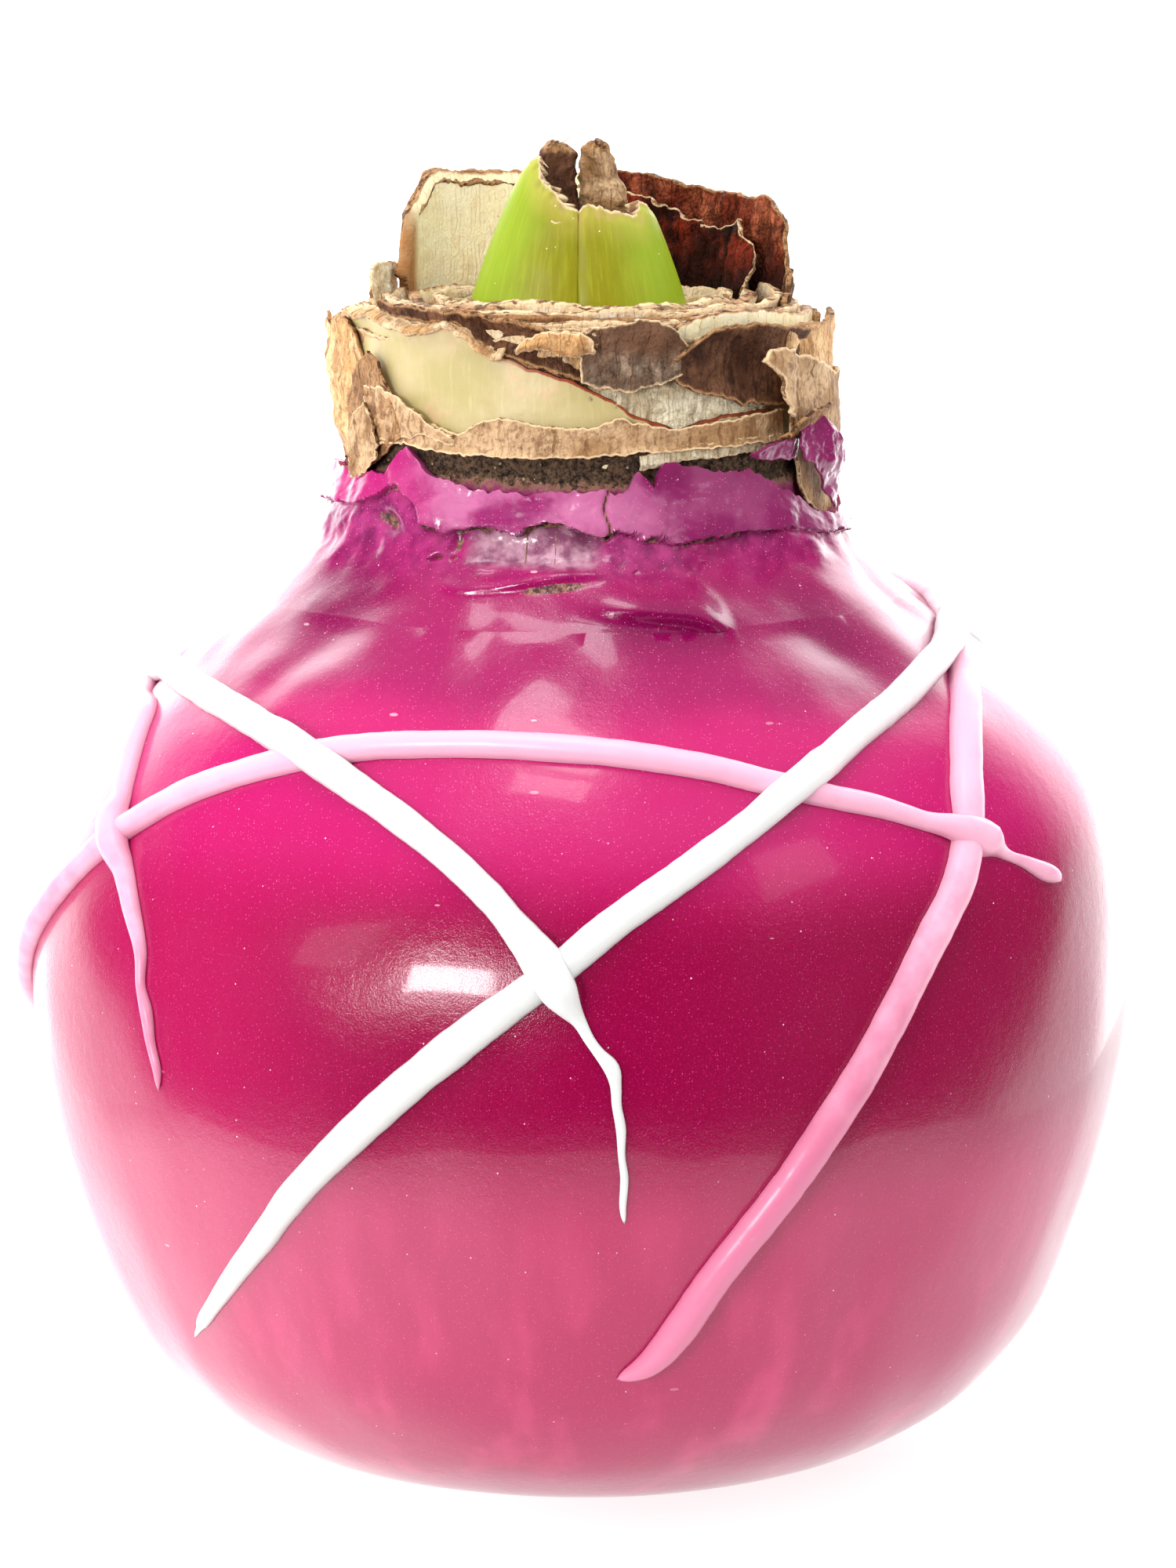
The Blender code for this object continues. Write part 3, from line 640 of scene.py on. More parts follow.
def scale_finish(name, body, edge, shaded=None, *, spacing, veins=0.4, depth=0.35, reach=0.4,
                 rough=0.55, streaks=0.7):
    """A bulb scale or dry tunic: fibres up its length, blotches, and a rim dried to brown.

    body holds its pale, middle and dark tones, edge the dried and the burnt tone of its rim, and
    shaded is the tone that its tint layer brings. The veins lie spacing apart, in millimetres, and
    the rim is dried for a reach of 0 to 1 of its width.
    """
    material, tree, shader = new_finish(name, Specular_IOR_Level=0.15)
    place = millimetres(tree)
    across, along, rim = layer(tree, "across"), layer(tree, "along"), layer(tree, "rim")
    grain = use(tree, FIBRES, {"Across": across, "Along": along, "Spacing": spacing, "Wander": 1.6})
    pale, middle, dark = body
    dried, burnt = edge
    blotches = clouds(tree, place, 0.24, 4.0)
    crumbs = clouds(tree, place, 1.7, 5.0, 0.7)
    painted_shade_patches = clouds(tree, stretched(tree, place, (1.0, 1.0, 0.5)), 0.55, 5.0, 0.65)
    shade = mix(tree, ramp(tree, blotches, 0.38, 0.62), pale, middle)
    # Painted shade: broad darker patches laid at random over the face.
    shade = mix(tree, ramp(tree, painted_shade_patches, 0.50, 0.64, 0.0, streaks * 0.8), shade, dark)
    shade = mix(tree, ramp(tree, grain["Streaks"], 0.48, 0.72, 0.0, streaks), shade, dark)
    # Painted crease shade: darker where a fine noise is low.
    shade = mix(tree, ramp(tree, crumbs, 0.52, 0.36, 0.0, streaks * 0.8), shade, dark)
    shade = mix(tree, times(tree, grain["Veins"], veins), shade, burnt)
    freckles = use(tree, SPECKS, {"Place": place, "Cell": 1.3, "Size": 0.15, "Share": 0.14})["Mask"]
    shade = mix(tree, times(tree, freckles, 0.5), shade, burnt)
    tint = times(tree, layer(tree, "tint"), ramp(tree, blotches, 0.1, 0.5, 0.6, 1.0))
    shade = mix(tree, tint, shade, shaded or DARK_BROWN)
    browned = use(tree, RIM, {
        "Rim": rim, "Place": place, "Reach": reach, "Colour": shade, "Dry": dried, "Burnt": burnt,
    })
    tree.links.new(browned["Colour"], shader.inputs["Base Color"])
    rough = plus(tree, times(tree, crumbs, 0.3), rough - 0.15)
    tree.links.new(rough, shader.inputs["Roughness"])
    relief = plus(tree, grain["Streaks"], times(tree, grain["Veins"], -0.6))
    crumpled = use(tree, BUMPS, {"Place": place, "Coarse": 1.0, "Fine": 4.0, "Share": 0.5})["Height"]
    bump(tree, shader, plus(tree, relief, crumpled), depth, 0.9)
    return material


def front_scale_finish():
    """The smooth fleshy front scale: cream-yellow, greener in places, with a red-brown torn line."""
    material, tree, shader = new_finish(
        "front_cream", Coat_Weight=0.1, Coat_Roughness=0.35, Subsurface_Weight=0.1,
        Subsurface_Radius=(1.0, 0.8, 0.3), Subsurface_Scale=0.0015,
    )
    place = millimetres(tree)
    across, along, rim = layer(tree, "across"), layer(tree, "along"), layer(tree, "rim")
    grain = use(tree, FIBRES, {"Across": across, "Along": along, "Spacing": 1.1, "Wander": 0.8})
    blotches = clouds(tree, place, 0.16, 3.0)
    cream, greenish = tones((0.56, 0.45, 0.23), (0.48, 0.395, 0.155))
    shade = mix(tree, ramp(tree, blotches, 0.36, 0.6), cream, greenish)
    shade = mix(tree, ramp(tree, grain["Streaks"], 0.5, 0.75, 0.0, 0.5), shade, colour(0.63, 0.53, 0.28))
    bruise = ramp(tree, clouds(tree, place, 0.33, 4.0, 0.6), 0.55, 0.70, 0.0, 0.65)
    shade = mix(tree, bruise, shade, colour(0.66, 0.42, 0.24))
    freckles = use(tree, SPECKS, {"Place": place, "Cell": 1.0, "Size": 0.10, "Share": 0.3})["Mask"]
    shade = mix(tree, times(tree, freckles, 0.7), shade, colour(0.30, 0.15, 0.05))
    uneven = clouds(tree, place, 0.9, 4.0, 0.65)
    reach = plus(tree, rim, times(tree, uneven, 0.5))
    tanned = mix(tree, ramp(tree, reach, 0.35, 0.95), shade, colour(0.60, 0.36, 0.18))
    tint = layer(tree, "tint")
    reddish = mix(tree, ramp(tree, reach, 0.80, 0.95), shade, colour(0.32, 0.05, 0.012))
    reddish = mix(tree, ramp(tree, reach, 1.12, 1.25), reddish, colour(0.10, 0.015, 0.006))
    tree.links.new(mix(tree, tint, tanned, reddish), shader.inputs["Base Color"])
    shader.inputs["Roughness"].default_value = 0.42
    waves = use(tree, BUMPS, {"Place": place, "Coarse": 0.5, "Fine": 2.4, "Share": 0.3})["Height"]
    bump(tree, shader, plus(tree, waves, times(tree, grain["Streaks"], 0.4)), 0.12, 0.7)
    return material


def felt_finish():
    """The old root felt above the wax: dark, pitted and speckled, with magenta crumbs lower down."""
    material, tree, shader = new_finish("speckled_felt", Roughness=0.85)
    place = millimetres(tree)
    x, _, height = add(tree, "ShaderNodeSeparateXYZ", {0: place}).outputs
    grain = clouds(tree, place, 2.3, 5.0, 0.8)
    pitted, raised = tones((0.012, 0.006, 0.003), (0.22, 0.12, 0.06))
    shade = mix(tree, ramp(tree, grain, 0.38, 0.62), pitted, raised)
    pale = use(tree, SPECKS, {"Place": place, "Cell": 2.0, "Size": 0.24, "Share": 0.2})["Mask"]
    shade = mix(tree, pale, shade, colour(0.66, 0.50, 0.32))
    crumbs = clouds(tree, place, 1.3, 5.0, 0.75)
    low = plus(tree, height, times(tree, crumbs, 3.4))
    low = plus(tree, low, times(tree, x, 0.03))
    shade = mix(tree, ramp(tree, low, 92.3, 91.9), shade, colour(0.42, 0.20, 0.13))
    shade = mix(tree, ramp(tree, low, 91.9, 91.3), shade, colour(0.46, 0.05, 0.20))
    tree.links.new(shade, shader.inputs["Base Color"])
    bump(tree, shader, grain, 0.6, 1.0)
    return material


def leaf_finish():
    """Fresh lime-green leaf, olive along the seam, with fine veins and a dried cut edge."""
    material, tree, shader = new_finish(
        "leaf_green", Specular_IOR_Level=0.25, Coat_Weight=0.05, Coat_Roughness=0.3,
        Subsurface_Weight=0.12, Subsurface_Radius=(0.6, 1.0, 0.2), Subsurface_Scale=0.001,
    )
    place = millimetres(tree)
    across, along, rim, seam = (layer(tree, name) for name in LAYERS)
    grain = use(tree, FIBRES, {"Across": across, "Along": along, "Spacing": 0.7, "Wander": 0.3})
    patchy = plus(tree, seam, times(tree, clouds(tree, place, 0.3, 3.0), 0.7))
    shade = mix(tree, ramp(tree, patchy, 0.4, 1.3), colour(0.25, 0.36, 0.009), colour(0.23, 0.22, 0.004))
    shade = mix(tree, ramp(tree, grain["Streaks"], 0.42, 0.75, 0.0, 0.4), shade, colour(0.38, 0.43, 0.02))
    fade = clouds(tree, place, 0.6, 3.0)
    top = ramp(tree, plus(tree, rim, times(tree, fade, 0.4)), 0.1, 1.1)
    shade = mix(tree, times(tree, top, 0.5), shade, colour(0.50, 0.42, 0.08))
    blush = times(tree, rim, clouds(tree, place, 0.8, 4.0, 0.65))
    shade = mix(tree, ramp(tree, blush, 0.34, 0.55, 0.0, 0.45), shade, colour(0.45, 0.24, 0.13))
    pale = use(tree, SPECKS, {"Place": place, "Cell": 1.3, "Size": 0.09, "Share": 0.25})["Mask"]
    shade = mix(tree, pale, shade, colour(0.85, 0.9, 0.55))
    dried = use(tree, RIM, {
        "Rim": layer(tree, "cut"), "Place": place, "Reach": 0.3, "Colour": shade,
        "Dry": colour(0.72, 0.55, 0.34), "Burnt": colour(0.34, 0.18, 0.09),
    })
    tree.links.new(dried["Colour"], shader.inputs["Base Color"])
    tree.links.new(ramp(tree, dried["Mask"], 0.0, 1.0, 0.36, 0.75), shader.inputs["Roughness"])
    bump(tree, shader, grain["Streaks"], 0.1, 0.6)
    return material


def floor_finish():
    """Plain white paper that glows so that it stays even, less so at the right and at its ends."""
    material, tree, shader = new_finish(
        "white_paper", Roughness=0.6, Specular_IOR_Level=0.2, Emission_Strength=PAPER_GLOW
    )
    place = millimetres(tree)
    shade = mix(tree, clouds(tree, place, 0.006, 2.0), grey(0.25), grey(0.27))
    tree.links.new(shade, shader.inputs["Base Color"])
    x, y, _ = add(tree, "ShaderNodeSeparateXYZ", {0: place}).outputs
    aside = ramp(tree, maths(tree, "ABSOLUTE", x), FLOOR_HALF_WIDTH - 35.0, FLOOR_HALF_WIDTH)
    aside = times(tree, aside, ramp(tree, y, 60.0, 0.0))
    ahead = ramp(tree, y, FLOOR_FRONT + 32.0, FLOOR_FRONT)
    glow = mix(tree, ramp(tree, x, 10.0, -70.0), grey(0.5), grey(1.0))
    glow = mix(tree, maths(tree, "MAXIMUM", aside, ahead), glow, grey(0.35))
    tree.links.new(glow, shader.inputs["Emission Color"])
    return material


# Pale, middle and dark tones of the scales and tunics.
CREAM_TONES = tones((0.94, 0.86, 0.60), (0.90, 0.80, 0.50), (0.78, 0.58, 0.30))
PALE_TONES = tones((0.92, 0.82, 0.64), (0.80, 0.60, 0.38), (0.50, 0.29, 0.14))
TAN_TONES = tones((0.86, 0.57, 0.29), (0.64, 0.36, 0.15), (0.25, 0.10, 0.032))
TAN_RIM_TONES = tones((0.82, 0.62, 0.38), (0.64, 0.36, 0.15), (0.25, 0.10, 0.032))
PAPER_TONES = tones((0.62, 0.41, 0.23), (0.40, 0.225, 0.10), (0.16, 0.065, 0.024))
TAN_BROWN_TONES = tones((0.50, 0.28, 0.13), (0.32, 0.155, 0.065), (0.10, 0.04, 0.018))
BROWN_TONES = tones((0.20, 0.088, 0.044), (0.10, 0.038, 0.018), (0.022, 0.007, 0.004))
GREY_TONES = tones((0.46, 0.33, 0.23), (0.17, 0.10, 0.062), (0.035, 0.016, 0.009))
WOOLLY_TONES = tones((0.86, 0.76, 0.55), (0.62, 0.50, 0.32), (0.28, 0.19, 0.10))
RED_TONES = tones((0.24, 0.022, 0.006), (0.045, 0.005, 0.002), (0.006, 0.0015, 0.001))
RED_LIGHT_TONES = tones((0.48, 0.12, 0.05), (0.20, 0.028, 0.010), (0.03, 0.005, 0.002))

# The dried and the burnt tone of a torn rim, and the tones that a tint layer brings.
DRIED = tones((0.44, 0.23, 0.10), (0.09, 0.035, 0.014))
BLEACHED = tones((0.80, 0.58, 0.34), (0.20, 0.09, 0.035))
DARK_BROWN = colour(0.12, 0.05, 0.025)
SIDE_BROWN = colour(0.42, 0.19, 0.07)
VEIN_BROWN = colour(0.16, 0.075, 0.04)
FOOT_BLACK = colour(0.02, 0.004, 0.003)
PALER_FOOT_BLACK = colour(0.03, 0.006, 0.004)

WAX = magenta_wax()
WHITE = piped_wax("white_wax", colour(0.76, 0.77, 0.755), colour(0.68, 0.69, 0.67))
PALE_PINK = piped_wax("pale_pink_wax", colour(0.86, 0.42, 0.56), colour(0.62, 0.17, 0.29))
FRONT_CREAM = front_scale_finish()
CREAM = scale_finish(
    "cream_scale", CREAM_TONES, DRIED, spacing=1.3, veins=0.15, depth=0.1, reach=0.35, rough=0.45,
    streaks=0.45,
)
BACK_CREAM = scale_finish(
    "back_cream", CREAM_TONES, DRIED, SIDE_BROWN, spacing=0.6, veins=0.15, depth=0.12, reach=0.4,
    rough=0.45, streaks=0.4,
)
PALE = scale_finish("pale_scale", PALE_TONES, BLEACHED, spacing=0.9, veins=0.3, depth=0.25, reach=0.6)
RIM_TAN = scale_finish("tan_rim", TAN_RIM_TONES, BLEACHED, spacing=0.9, reach=0.5)
RIM_BROWN = scale_finish("brown_rim", TAN_BROWN_TONES, DRIED, spacing=0.9)
TAN = scale_finish(
    "papery_tunic", TAN_TONES, DRIED, spacing=2.8, veins=0.6, depth=0.22, reach=0.45
)
PAPER = scale_finish(
    "thin_paper", PAPER_TONES, BLEACHED, spacing=2.9, veins=0.8, depth=0.2, reach=0.35
)
TAN_BROWN = scale_finish(
    "brown_papery_tunic", TAN_BROWN_TONES, DRIED, spacing=1.6, veins=0.5, reach=0.45
)
BROWN = scale_finish("brown_tunic", BROWN_TONES, DRIED, spacing=0.8, veins=0.5, reach=0.5, rough=0.6)
GREY = scale_finish(
    "veined_tunic", GREY_TONES, BLEACHED, VEIN_BROWN, spacing=1.35, veins=0.95, depth=0.5
)
WOOLLY = scale_finish(
    "woolly_scale", WOOLLY_TONES, BLEACHED, spacing=0.5, veins=0.3, depth=0.5, reach=0.3, rough=0.8
)
RED = scale_finish(
    "red_brown_scale", RED_TONES, BLEACHED, FOOT_BLACK, spacing=0.9, veins=0.5, depth=0.4, reach=0.3,
    rough=0.35, streaks=1.0,
)
RED_LIGHT = scale_finish(
    "red_brown_inner", RED_LIGHT_TONES, DRIED, PALER_FOOT_BLACK, spacing=1.2, veins=0.5, depth=0.5,
    reach=0.35, rough=0.35, streaks=0.9,
)
STUB_TAN = scale_finish(
    "stub_tan", PAPER_TONES, DRIED, colour(0.22, 0.11, 0.04), spacing=0.9, depth=0.4
)
FELT = felt_finish()
LEAF = leaf_finish()
FLOOR_WHITE = floor_finish()


# The wax coat

# Single spots of the wax: amount, azimuth, half width, height, half height, and its slant.
DRAPES = [
    (0.9, 57, 6, 77.0, 5.0, -0.1),
    (-0.8, 43, 6, 77.5, 5.0, 0.0),
    (-0.7, -46, 7, 78.5, 5.0, 0.0),
]
PITS = [(1.0, -48, 5.0, 86.6, 0.7, -0.12), (0.8, -27, 1.6, 85.2, 1.2, 0.0)]
BARE_LIP = [(1.1, -5, 8, 82.0, 0.5, 0.05)]
# Pools of thick wax, with painted shade under the nose.
POOLS_AND_SHADE = [
    (1.2, -52, 16, 80.5, 4.0, 0.0),
    (1.2, 14, 16, 79.2, 2.4, 0.0),
    (0.9, 46, 10, 77.5, 4.5, 0.0),
]
# Bare threads in the recess: amount, azimuth and half width.
THREADS = [(1.0, -11.6, 0.45), (1.0, -5.4, 0.4), (0.6, -15.5, 0.3)]
NOSE_RISE = 2.24
LIP_RISE = 0.75
COAT_COLUMNS = 480
NECK_ROWS = 90
INNER_ROWS = 26
BODY_ROWS = [row for row in PROFILE[::3] if row[1] < 79.0]


def spots(degrees, z, table):
    """Sum of the round spots of a table at a place on the wax."""
    total = 0.0
    for amount, middle, width, height, reach, slant in table:
        level_there = height + slant * (degrees - middle)
        total += amount * hump(degrees, middle, width) * hump(z, level_there, reach)
    return total


def folds(degrees, z):
    """Soft drapes where the wax runs from the neck to the shoulder, and the lobes of the neck."""
    point = on_neck(degrees, z, body_radius(z))
    rise = 0.55 * hump(z, 79.5, 5.5) * lumps((point.x, point.y, z * 0.35), 6.5, 3.1)
    rise += 0.35 * hump(z, 84.5, 4.0) * lumps(point, 3.2, 7.7)
    rise += spots(degrees, z, DRAPES)
    rise += 0.21 * ease(30, 10, abs(z - 45)) * lumps(point, 21.0, 1.3)
    rise += 0.16 * lumps(point, 9.0, 5.9) * ease(86, 60, z)
    rise += 0.22 * lumps((point.x, point.y, z * 0.3), 7.0, 2.9) * ease(50, 25, z)
    rise += 0.30 * hump(z, 76.0, 6.0) * lumps(point, 5.0, 6.6)
    return rise


def nose(degrees, z):
    """A lobe of wax that ran down the front of the neck and set with a pointed tip."""
    if not -6 < degrees < 30:
        return 0.0
    middle = 81.6 - 0.045 * (degrees + 4) - 0.9 * ease(18, 26, degrees)
    size = ease(-6, 15, degrees) * ease(28.5, 21.0, degrees)
    swell = hump(z, middle, 2.2) if z > middle else ease(2.2, 0.2, middle - z)
    return NOSE_RISE * size * swell


def ridge(degrees, z):
    """The shiny rolled lip under the torn recess."""
    if not -32 < degrees < 9:
        return 0.0
    middle = 81.9 + 1.5 * ease(-24, 3, degrees)
    size = ease(-31, -20, degrees) * ease(8, 2, degrees)
    return LIP_RISE * size * hump(z, middle, 0.65)


def wax_relief(degrees, z):
    """Fine forms of the wax, and its layers: on the upper flap, in a bare tear, in the recess."""
    point = on_neck(degrees, z, 23.0)
    ragged = 0.35 * lumps(point, 1.3, 2.2) + 0.2 * lumps(point, 0.5, 4.4)
    over_edge = z - between(FLAP_EDGE, degrees) - ragged
    on_flap = ease(-0.10, 0.10, over_edge) * ease(80.5, 82.0, z)
    recess = ease(-26, -21, degrees) * ease(6, 1, degrees) * ease(83.2, 84.0, z) * (1 - on_flap)
    pits = spots(degrees, z, PITS)
    pits += 0.9 * hump(degrees, 17, 9) * hump(z, 83.3, 0.4) * ease(0.05, 0.4, lumps(point, 1.1, 6.0))
    pits += 0.8 * hump(degrees, -31, 6) * hump(z, 83.9, 0.35) * ease(0.1, 0.4, lumps(point, 0.9, 7.0))
    split = hump(degrees, 5.8 + 0.5 * math.sin(z * 1.9), 0.42) * ease(85.6, 86.2, z)
    seen = 0.35 + 0.65 * ease(-0.3, 0.3, lumps(point, 2.6, 8.8))
    groove = seen * hump(over_edge, -0.16, 0.24) * ease(62, 45, degrees) * ease(-60, -45, degrees)
    threads = recess * sum(share * hump(degrees, middle, width) for share, middle, width in THREADS)

    rise = on_flap * (0.6 - 0.3 * ease(1.0, 3.5, over_edge) + 0.35 * lumps(point, 3.0, 5.1))
    rise += crumple(point, 0.16, 2.0, 9.1) * ease(81, 85, z)
    rise += nose(degrees, z) + ridge(degrees, z)
    rise -= 0.6 * recess + 0.8 * pits + 0.5 * split + 0.25 * groove
    bare = pits + groove + 0.85 * threads + spots(degrees, z, BARE_LIP) + split
    return rise, on_flap, min(1.0, bare), recess


def pooled(degrees, z):
    """Where the wax ran together and lies thick and dark, with painted shade under the nose and the
    folds, from 0 to 1.
    """
    return min(1.0, spots(degrees, z, POOLS_AND_SHADE))


def wax_coat():
    """The dipped coat: outer face up to its torn edge, and back down inside to the base."""
    neck_foot = BODY_ROWS[-1][1]
    outer_rows = len(BODY_ROWS) + NECK_ROWS
    last_row = outer_rows + INNER_ROWS - 1

    def place(u, v):
        turn = 2 * math.pi * (u - 0.5)
        azimuth = turn - 0.3 * math.sin(turn)
        degrees = math.degrees(azimuth)
        k = round(v * last_row)
        if k < len(BODY_ROWS):
            radius, z = BODY_ROWS[k]
            if radius < BASE_RADIUS + 0.1:
                return round_point(azimuth, radius, z), 0.0, 0.0, 0.0, 0.0
            rise = folds(degrees, z) + nose(degrees, z) + ridge(degrees, z)
            point = skin(azimuth, z) + outward(azimuth, z) * rise * ease(0.0, 8.0, z)
            return point, 0.0, 0.0, 0.0, pooled(degrees, z)
        rim = on_neck(degrees, 90.0, 23.0)
        edge = between(WAX_EDGE, degrees) + 0.3 * lumps(rim, 1.1, 1.9) + 0.24 * lumps(rim, 0.45, 3.7)
        if k < outer_rows:
            share = (k - len(BODY_ROWS) + 1) / NECK_ROWS
            z = neck_foot + (edge - neck_foot) * share
            rise, on_flap, bare, thin = wax_relief(degrees, z)
            rise += swelling(azimuth, z) + folds(degrees, z) - ease(86.0, 91.0, z)
            point = round_point(azimuth, body_radius(z) + rise, z)
            return point, on_flap, bare, thin, pooled(degrees, z)
        share = (k - outer_rows) / (INNER_ROWS - 1)
        if share == 1.0:
            return Vector((0, 0, WAX_THICKNESS)), 0.0, 0.0, 0.0, 0.0
        z = max(edge * (1 - share) - 0.25, WAX_THICKNESS)
        thickness = WAX_THICKNESS + 0.4 * ease(80, 92, z) + hump(z, 80, 5)
        radius = body_radius(z) + swelling(azimuth, z) - thickness
        if share > 0.94:
            radius *= 0.6
        return round_point(azimuth, radius, z), 1.0 - ease(80, 88, z), 0.0, 0.0, 0.0

    # deep carries thick pooled wax and painted shade under the nose.
    layers = ("flap", "bare", "thin", "deep")
    return settle(grid_piece("wax_coat_fine", COAT_COLUMNS, last_row, place, WAX, layers), "wax_coat")


# Piped lines

BEAD_SIDES = 14
FLATTENED = 0.35
LIFT_RUN = 2.6


class Line:
    """A piped line on the body: its places, normals, side directions and half widths."""

    def __init__(self, points, height, step=0.5):
        curve = smooth_curve([(math.radians(a), z, w) for a, z, w in points], 10)
        places = [skin(a, z) for a, z, w in curve]
        rows = even_steps(curve, places, step)
        self.height = height
        self.widths = [w for a, z, w in rows]
        self.places = [skin(a, z) for a, z, w in rows]
        self.normals = [outward(a, z) for a, z, w in rows]
        self.sides = []
        for i, normal in enumerate(self.normals):
            ahead = self.places[min(i + 1, len(rows) - 1)] - self.places[max(i - 1, 0)]
            self.sides.append(normal.cross(ahead).normalized())

    def nearest(self, point, half):
        """How far a point is from the line's edge; half keeps to the right (1) or left (-1)."""
        return min(
            (point - place).length - width
            for place, width in zip(self.places, self.widths)
            if place.x * half >= 0
        )


def lift_over(point, lower, share, clear):
    """How much a line has to rise at a point to pass over the lines under it."""
    lift = 0.0
    for line, half in lower:
        nearness = ease(LIFT_RUN, 0.0, line.nearest(point, half) - 0.5)
        lift = max(lift, (line.height * share + clear) * nearness)
    return lift


def piped_line(name, line, lower, share, clear, material, node, seed):
    """A line as a half-round bead with soft edges on the wax and a rounded tip at each end.

    It passes over the lower lines at a share of their height and a little clear of them.
    """
    last = len(line.places) - 1
    lifts = [lift_over(place, lower, share, clear) for place in line.places]

    def place(u, v):
        i = round(v * last)
        turn = 2 * math.pi * u
        end = 0.0 if i in (0, last) else min(1.0, 0.5 + 0.3 * min(i, last - i))
        here = line.places[i]
        pulse = 1 + 0.06 * lumps(here, 3.0, seed) + 0.03 * lumps(here, 1.0, seed + 2)
        width = line.widths[i] * end * pulse
        height = min(line.height * 1.3, line.widths[i] * 1.1) * end * pulse
        on_top = math.sin(turn) > 0
        rise = math.sin(turn) * (1.0 if on_top else FLATTENED)
        beside = here + line.sides[i] * math.cos(turn) * width
        seat = skin(math.atan2(beside.x, -beside.y), beside.z)
        settled = lifts[i] * (1.0 if lifts[i] < 0.05 or on_top else FLATTENED)
        base = 0.12 + folds(math.degrees(math.atan2(here.x, -here.y)), here.z)
        return (seat + line.normals[i] * (base + settled + rise * height),)

    return settle(grid_piece(name, BEAD_SIDES, last, place, material), node)


def piped_lines():
    """The arc lies over the loop at the right and under it at the left; the white lines on top."""
    arc, loop = Line(PINK_ARC, PINK_HEIGHT), Line(PINK_LOOP, PINK_HEIGHT)
    falling, rising = Line(WHITE_FALLING, WHITE_HEIGHT, 0.4), Line(WHITE_RISING, WHITE_HEIGHT)
    pinks = [(arc, 0), (loop, 0)]
    piped_line("pink_arc", arc, [(loop, 1)], 0.5, 0.0, PALE_PINK, "pink_lines", 1.0)
    piped_line("pink_loop", loop, [(arc, -1)], 0.5, 0.0, PALE_PINK, "pink_lines", 2.0)
    piped_line("white_rising", rising, pinks, 0.8, 0.1, WHITE, "white_lines", 3.0)
    piped_line("white_falling", falling, [*pinks, (rising, 0)], 0.6, 0.1, WHITE, "white_lines", 4.0)


# The neck

def held_off(distance, lean=0.0):
    """The outer face of a sheet that lies some millimetres off the scales and leans out upwards."""
    return lambda degrees, z, v: SCALE_RADIUS + distance + lean * v


def sheet(name, bottom, top, radius, finish, node, *, seed, creases, span=None, thickness=0.3,
          torn="tbs", ragged=0.3, rim_width=0.5, density=6.0, tint=None, left=None):
    """A scale or tunic on the neck between two torn outlines, rows of azimuth and height.

    radius(degrees, z, share of height) gives its outer face. creases are their amount and size.
    span is from where to where it runs, if not all along its top. torn names the edges that are
    torn: t the top, b the bottom, s the sides. ragged is how far they stray, rim_width how far in
    they have dried, and density the faces to a millimetre. tint(degrees, z) from 0 to 1 shades it,
    and left(z) moves its left side by some degrees.
    """
    start, end = span or (top[0][0], top[-1][0])
    columns = max(12, round((end - start) * MM_A_DEGREE * density))
    middles = [start + (end - start) * k / 20 for k in range(21)]
    tallest = max(between(top, degrees) - between(bottom, degrees) for degrees in middles)
    rows = max(6, round(tallest * density * 0.85))

    def place(u, v):
        degrees = start + (end - start) * u
        seat = on_neck(degrees, 0.0)
        wobble = ragged * (lumps(seat, 1.3, seed) + 0.6 * lumps(seat, 0.45, seed + 3))
        low = between(bottom, degrees) + (wobble if "b" in torn else 0.0)
        high = between(top, degrees) + (wobble * 0.9 if "t" in torn else 0.0)
        high = max(high, low + 0.05)
        z = low + (high - low) * v
        turned = degrees + (left(z) * (1 - u) ** 3 if left else 0.0)
        if "s" in torn:
            frayed = lumps((z, seed, u), 1.1, seed + 5) + 0.5 * lumps((z, seed, u), 0.4, seed + 6)
            turned += ragged * frayed / MM_A_DEGREE * abs(2 * u - 1) ** 2
        outer = radius(turned, z, v) + crumple(on_neck(turned, z), *creases, seed)
        reach = [9.0]
        if "t" in torn:
            reach.append((1 - v) * (high - low))
        if "b" in torn:
            reach.append(v * (high - low))
        if "s" in torn:
            reach.append(min(u, 1 - u) * (end - start) * MM_A_DEGREE)
        rim = max(0.0, 1 - min(reach) / rim_width)
        shaded = tint(turned, z) if tint else 0.0
        across, along = math.radians(turned) * LAYER_RADIUS, z - LAYER_FOOT
        return on_neck(turned, z, outer), across, along, rim, shaded

    piece = grid_piece(name, columns, rows, place, finish, LAYERS, merge=False)
    face_outwards(piece, NECK_MIDDLE)
    thicken(piece, thickness)
    return settle(piece, node)


def level(height):
    """A straight outline all round the neck at one height."""
    return [(-360, height), (360, height)]


def neck_core():
    """The cut-off fleshy neck and the hidden bulb under the wax."""
    rows = [
        (0.0, 3.0), (30.0, 6.0), (46.0, 30.0), (47.0, 42.0), (44.0, 60.0), (33.0, 73.0),
        (24.0, 81.0), (SKIN_RADIUS - 0.5, 85.0), (SKIN_RADIUS - 0.4, 92.6), (19.8, 93.6),
        (19.7, 97.0), (19.3, 100.0), (18.2, 102.0), (11.5, 101.4), (0.0, 100.8),
    ]
    curve = smooth_curve(rows, 4)

    def place(u, v):
        azimuth = 2 * math.pi * (u - 0.5)
        radius, z = curve[round(v * (len(curve) - 1))]
        radius = max(0.0, radius)
        point = round_point(azimuth, radius, z)
        radius += 0.15 * lumps(point, 2.0) * ease(0, 5, radius)
        return round_point(azimuth, radius, z), azimuth * 20, z - 90, 0.35, 0.0

    piece = grid_piece("neck_core", 120, len(curve) - 1, place, CREAM, LAYERS)
    return settle(piece, "bulb")


FELT_FOOT = 86.0
FELT_HEIGHT = 7.7


